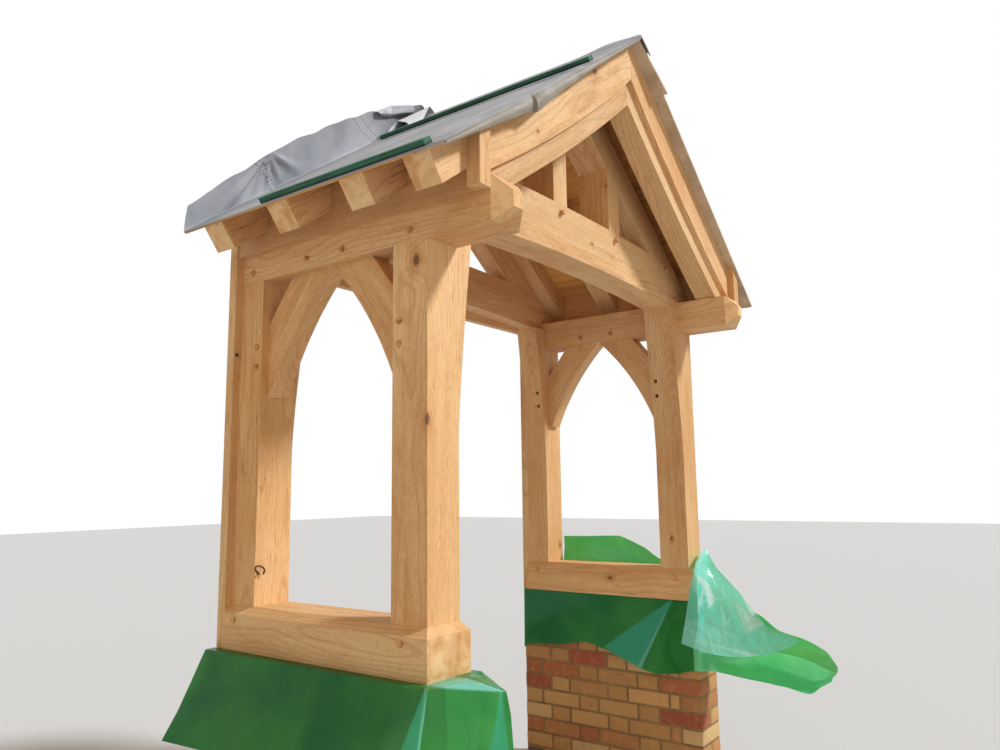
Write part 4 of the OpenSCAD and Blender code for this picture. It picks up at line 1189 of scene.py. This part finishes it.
# The pegs of the right side: which piece they are in, inner or front end, other end, radius
def pegs_of_a_side():
    for y in (-0.902, -0.1035):
        yield "pegs_pale", (0.852, y, 1.005), (1.0745, y, 1.005), 0.0115
    for y in (-0.902, -0.589, -0.1035, -0.406):
        yield "pegs_dark", (0.878, y, 2.265), (1.0365, y, 2.265), 0.0120
    for y in (-0.857, -0.138):
        for z in (1.977, 1.903):
            yield "pegs_dark", (0.92, y, z), (1.0355, y, z), 0.0116
    for x, z in ((0.852, 2.382), (0.754, 2.519)):
        yield "pegs_dark", (x, -0.9915, z), (x, -0.85, z), 0.0112
        yield "pegs_pale", (x, -0.1485, z), (x, -0.03, z), 0.0112
    yield "pegs_dark", (0.228, -0.9915, 2.535), (0.228, -0.83, 2.535), 0.0112


def pegs():
    rng = random.Random(7)
    groups = {"pegs_pale": bmesh.new(), "pegs_dark": bmesh.new()}
    shades = {"pegs_pale": (srgb(224, 172, 112), srgb(196, 138, 82)),
              "pegs_dark": (srgb(216, 158, 102), srgb(166, 106, 60))}
    for side in (LEFT, RIGHT):
        for group, start, end, radius in pegs_of_a_side():
            start, end = ((side * x, y, z) for x, y, z in (start, end))
            peg_stub(groups[group], start, end, radius, rng)
    for name, bm in groups.items():
        bmesh.ops.recalc_face_normals(bm, faces=bm.faces)
        piece = from_bmesh(name, bm)
        g = graph(name)
        blot = g.noise(g.coordinates(), 70, 3, 0.6)
        color = g.mix(g.span(blot, 0.35, 0.65), *shades[name])
        piece.data.materials.append(g.finish(color, 0.75, g.bump(blot, 0.001)))
        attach(piece, "root")
        if name == "pegs_pale":
            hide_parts("pegs")


# Round bar bent along a line of points
def bar(name, points, radius, sides):
    fine = spline(points, 6, 0.5)
    bm = bmesh.new()
    rings = []
    side = None
    for i, point in enumerate(fine):
        axis = (fine[min(i + 1, len(fine) - 1)] - fine[max(i - 1, 0)]).normalized()
        side = (axis.orthogonal() if side is None else side - side.dot(axis) * axis).normalized()
        other = axis.cross(side)
        ring = []
        for k in range(sides):
            angle = 2 * math.pi * k / sides
            ring.append(bm.verts.new(point + (side * math.cos(angle) + other * math.sin(angle)) * radius))
        rings.append(ring)
    skin(bm, rings)
    bmesh.ops.recalc_face_normals(bm, faces=bm.faces)
    return from_bmesh(name, bm, smooth=True)


def rusty_iron():
    g = graph("rusty_iron")
    scale = g.noise(g.coordinates(), 120, 4, 0.7)
    color = g.mix(g.span(scale, 0.4, 0.65), srgb(70, 46, 36), srgb(140, 74, 36))
    return g.finish(color, g.span(scale, 0.4, 0.65, 0.55, 0.9), g.bump(scale, 0.001), Metallic=0.4)


HOOK, FIXING = lattice((
    (-1018, -160, 1160), (-1020, -176, 1161), (-1036, -184, 1170), (-1041, -184, 1185), (-1026, -182, 1189),
    (-1008, -182, 1182), (-1001, -182, 1172), (-1005, -180, 1158)), ((-1049, -36, 1956), (-1049, -47, 1956)))


# Rusty hook on the left rear post, and a fixing in the left pad
def ironwork():
    iron = rusty_iron()
    for piece in (bar("rusty_hook", HOOK, 0.0032, 10), bar("pad_fixing", FIXING, 0.006, 12)):
        piece.data.materials.append(iron)
        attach(piece, "root")


# Floor and sky: plain pale surroundings, white to the camera and in reflections, dimmer and warmer as light
def stage():
    bpy.ops.mesh.primitive_plane_add(size=60, location=(0, 0, 0))
    floor = bpy.context.object
    floor.name = "floor"
    floor.data.materials.append(graph("floor_pale").finish(srgb(208, 211, 217), 0.9))
    world = bpy.data.worlds.new("studio")
    bpy.context.scene.world = world
    g = Graph(world)
    rays = g.add("ShaderNodeLightPath").outputs
    indirect = g.math("MAXIMUM", rays["Is Glossy Ray"], rays["Is Transmission Ray"])
    seen = g.math("MAXIMUM", rays["Is Camera Ray"], indirect)
    strength = g.add("ShaderNodeMapRange", {"Value": seen, "To Min": 0.42, "To Max": 1.0}).outputs[0]
    tint = g.mix(seen, (1.0, 0.81, 0.58), (1.0, 1.0, 1.0))
    g.close("ShaderNodeOutputWorld", g.shader("ShaderNodeBackground", Color=tint, Strength=strength))


def sun(name, energy, toward, color, degrees):
    data = bpy.data.lights.new(name, "SUN")
    data.energy = energy
    data.color = color
    data.angle = math.radians(degrees)
    light = bpy.data.objects.new(name, data)
    light.rotation_euler = Vector(toward).to_track_quat("-Z", "Y").to_euler()
    bpy.context.scene.collection.objects.link(light)


# The photograph's camera: where it stands, how it is turned, and its focal length for a 1000 pixel width
CAMERA = (-2.799, -2.539, 1.447)
YAW, RISE, ROLL = 0.9406, 0.1446, -0.0134
FOCAL_PIXELS = 781.45


def camera():
    ahead = Vector((math.sin(YAW) * math.cos(RISE), math.cos(YAW) * math.cos(RISE), math.sin(RISE)))
    level = Vector((math.cos(YAW), -math.sin(YAW), 0))
    above = level.cross(ahead)
    right = level * math.cos(ROLL) + above * math.sin(ROLL)
    up = above * math.cos(ROLL) - level * math.sin(ROLL)
    data = bpy.data.cameras.new("camera")
    data.sensor_width = 36
    data.lens = 36 * FOCAL_PIXELS / 1000
    data.clip_end = 200
    cam = bpy.data.objects.new("camera", data)
    bpy.context.scene.collection.objects.link(cam)
    cam.matrix_world = Matrix([*zip(right, up, -ahead, CAMERA), (0, 0, 0, 1)])
    bpy.context.scene.camera = cam


for side in (LEFT, RIGHT):
    brick_wall(side)
for side in (LEFT, RIGHT):
    boarding(side)
for side in (LEFT, RIGHT):
    membrane(side)
battens()
left_sheet()
right_sheet()
loose_end()
pegs()
ironwork()
stage()
sun("key", 2.9, (-0.46, 0.75, -0.74), (0.99, 1.03, 1.05), 8)
sun("fill", 0.4, (0.9, 0.35, -0.25), (1.0, 0.94, 0.86), 60)
camera()
bpy.context.scene.view_settings.view_transform = "Standard"
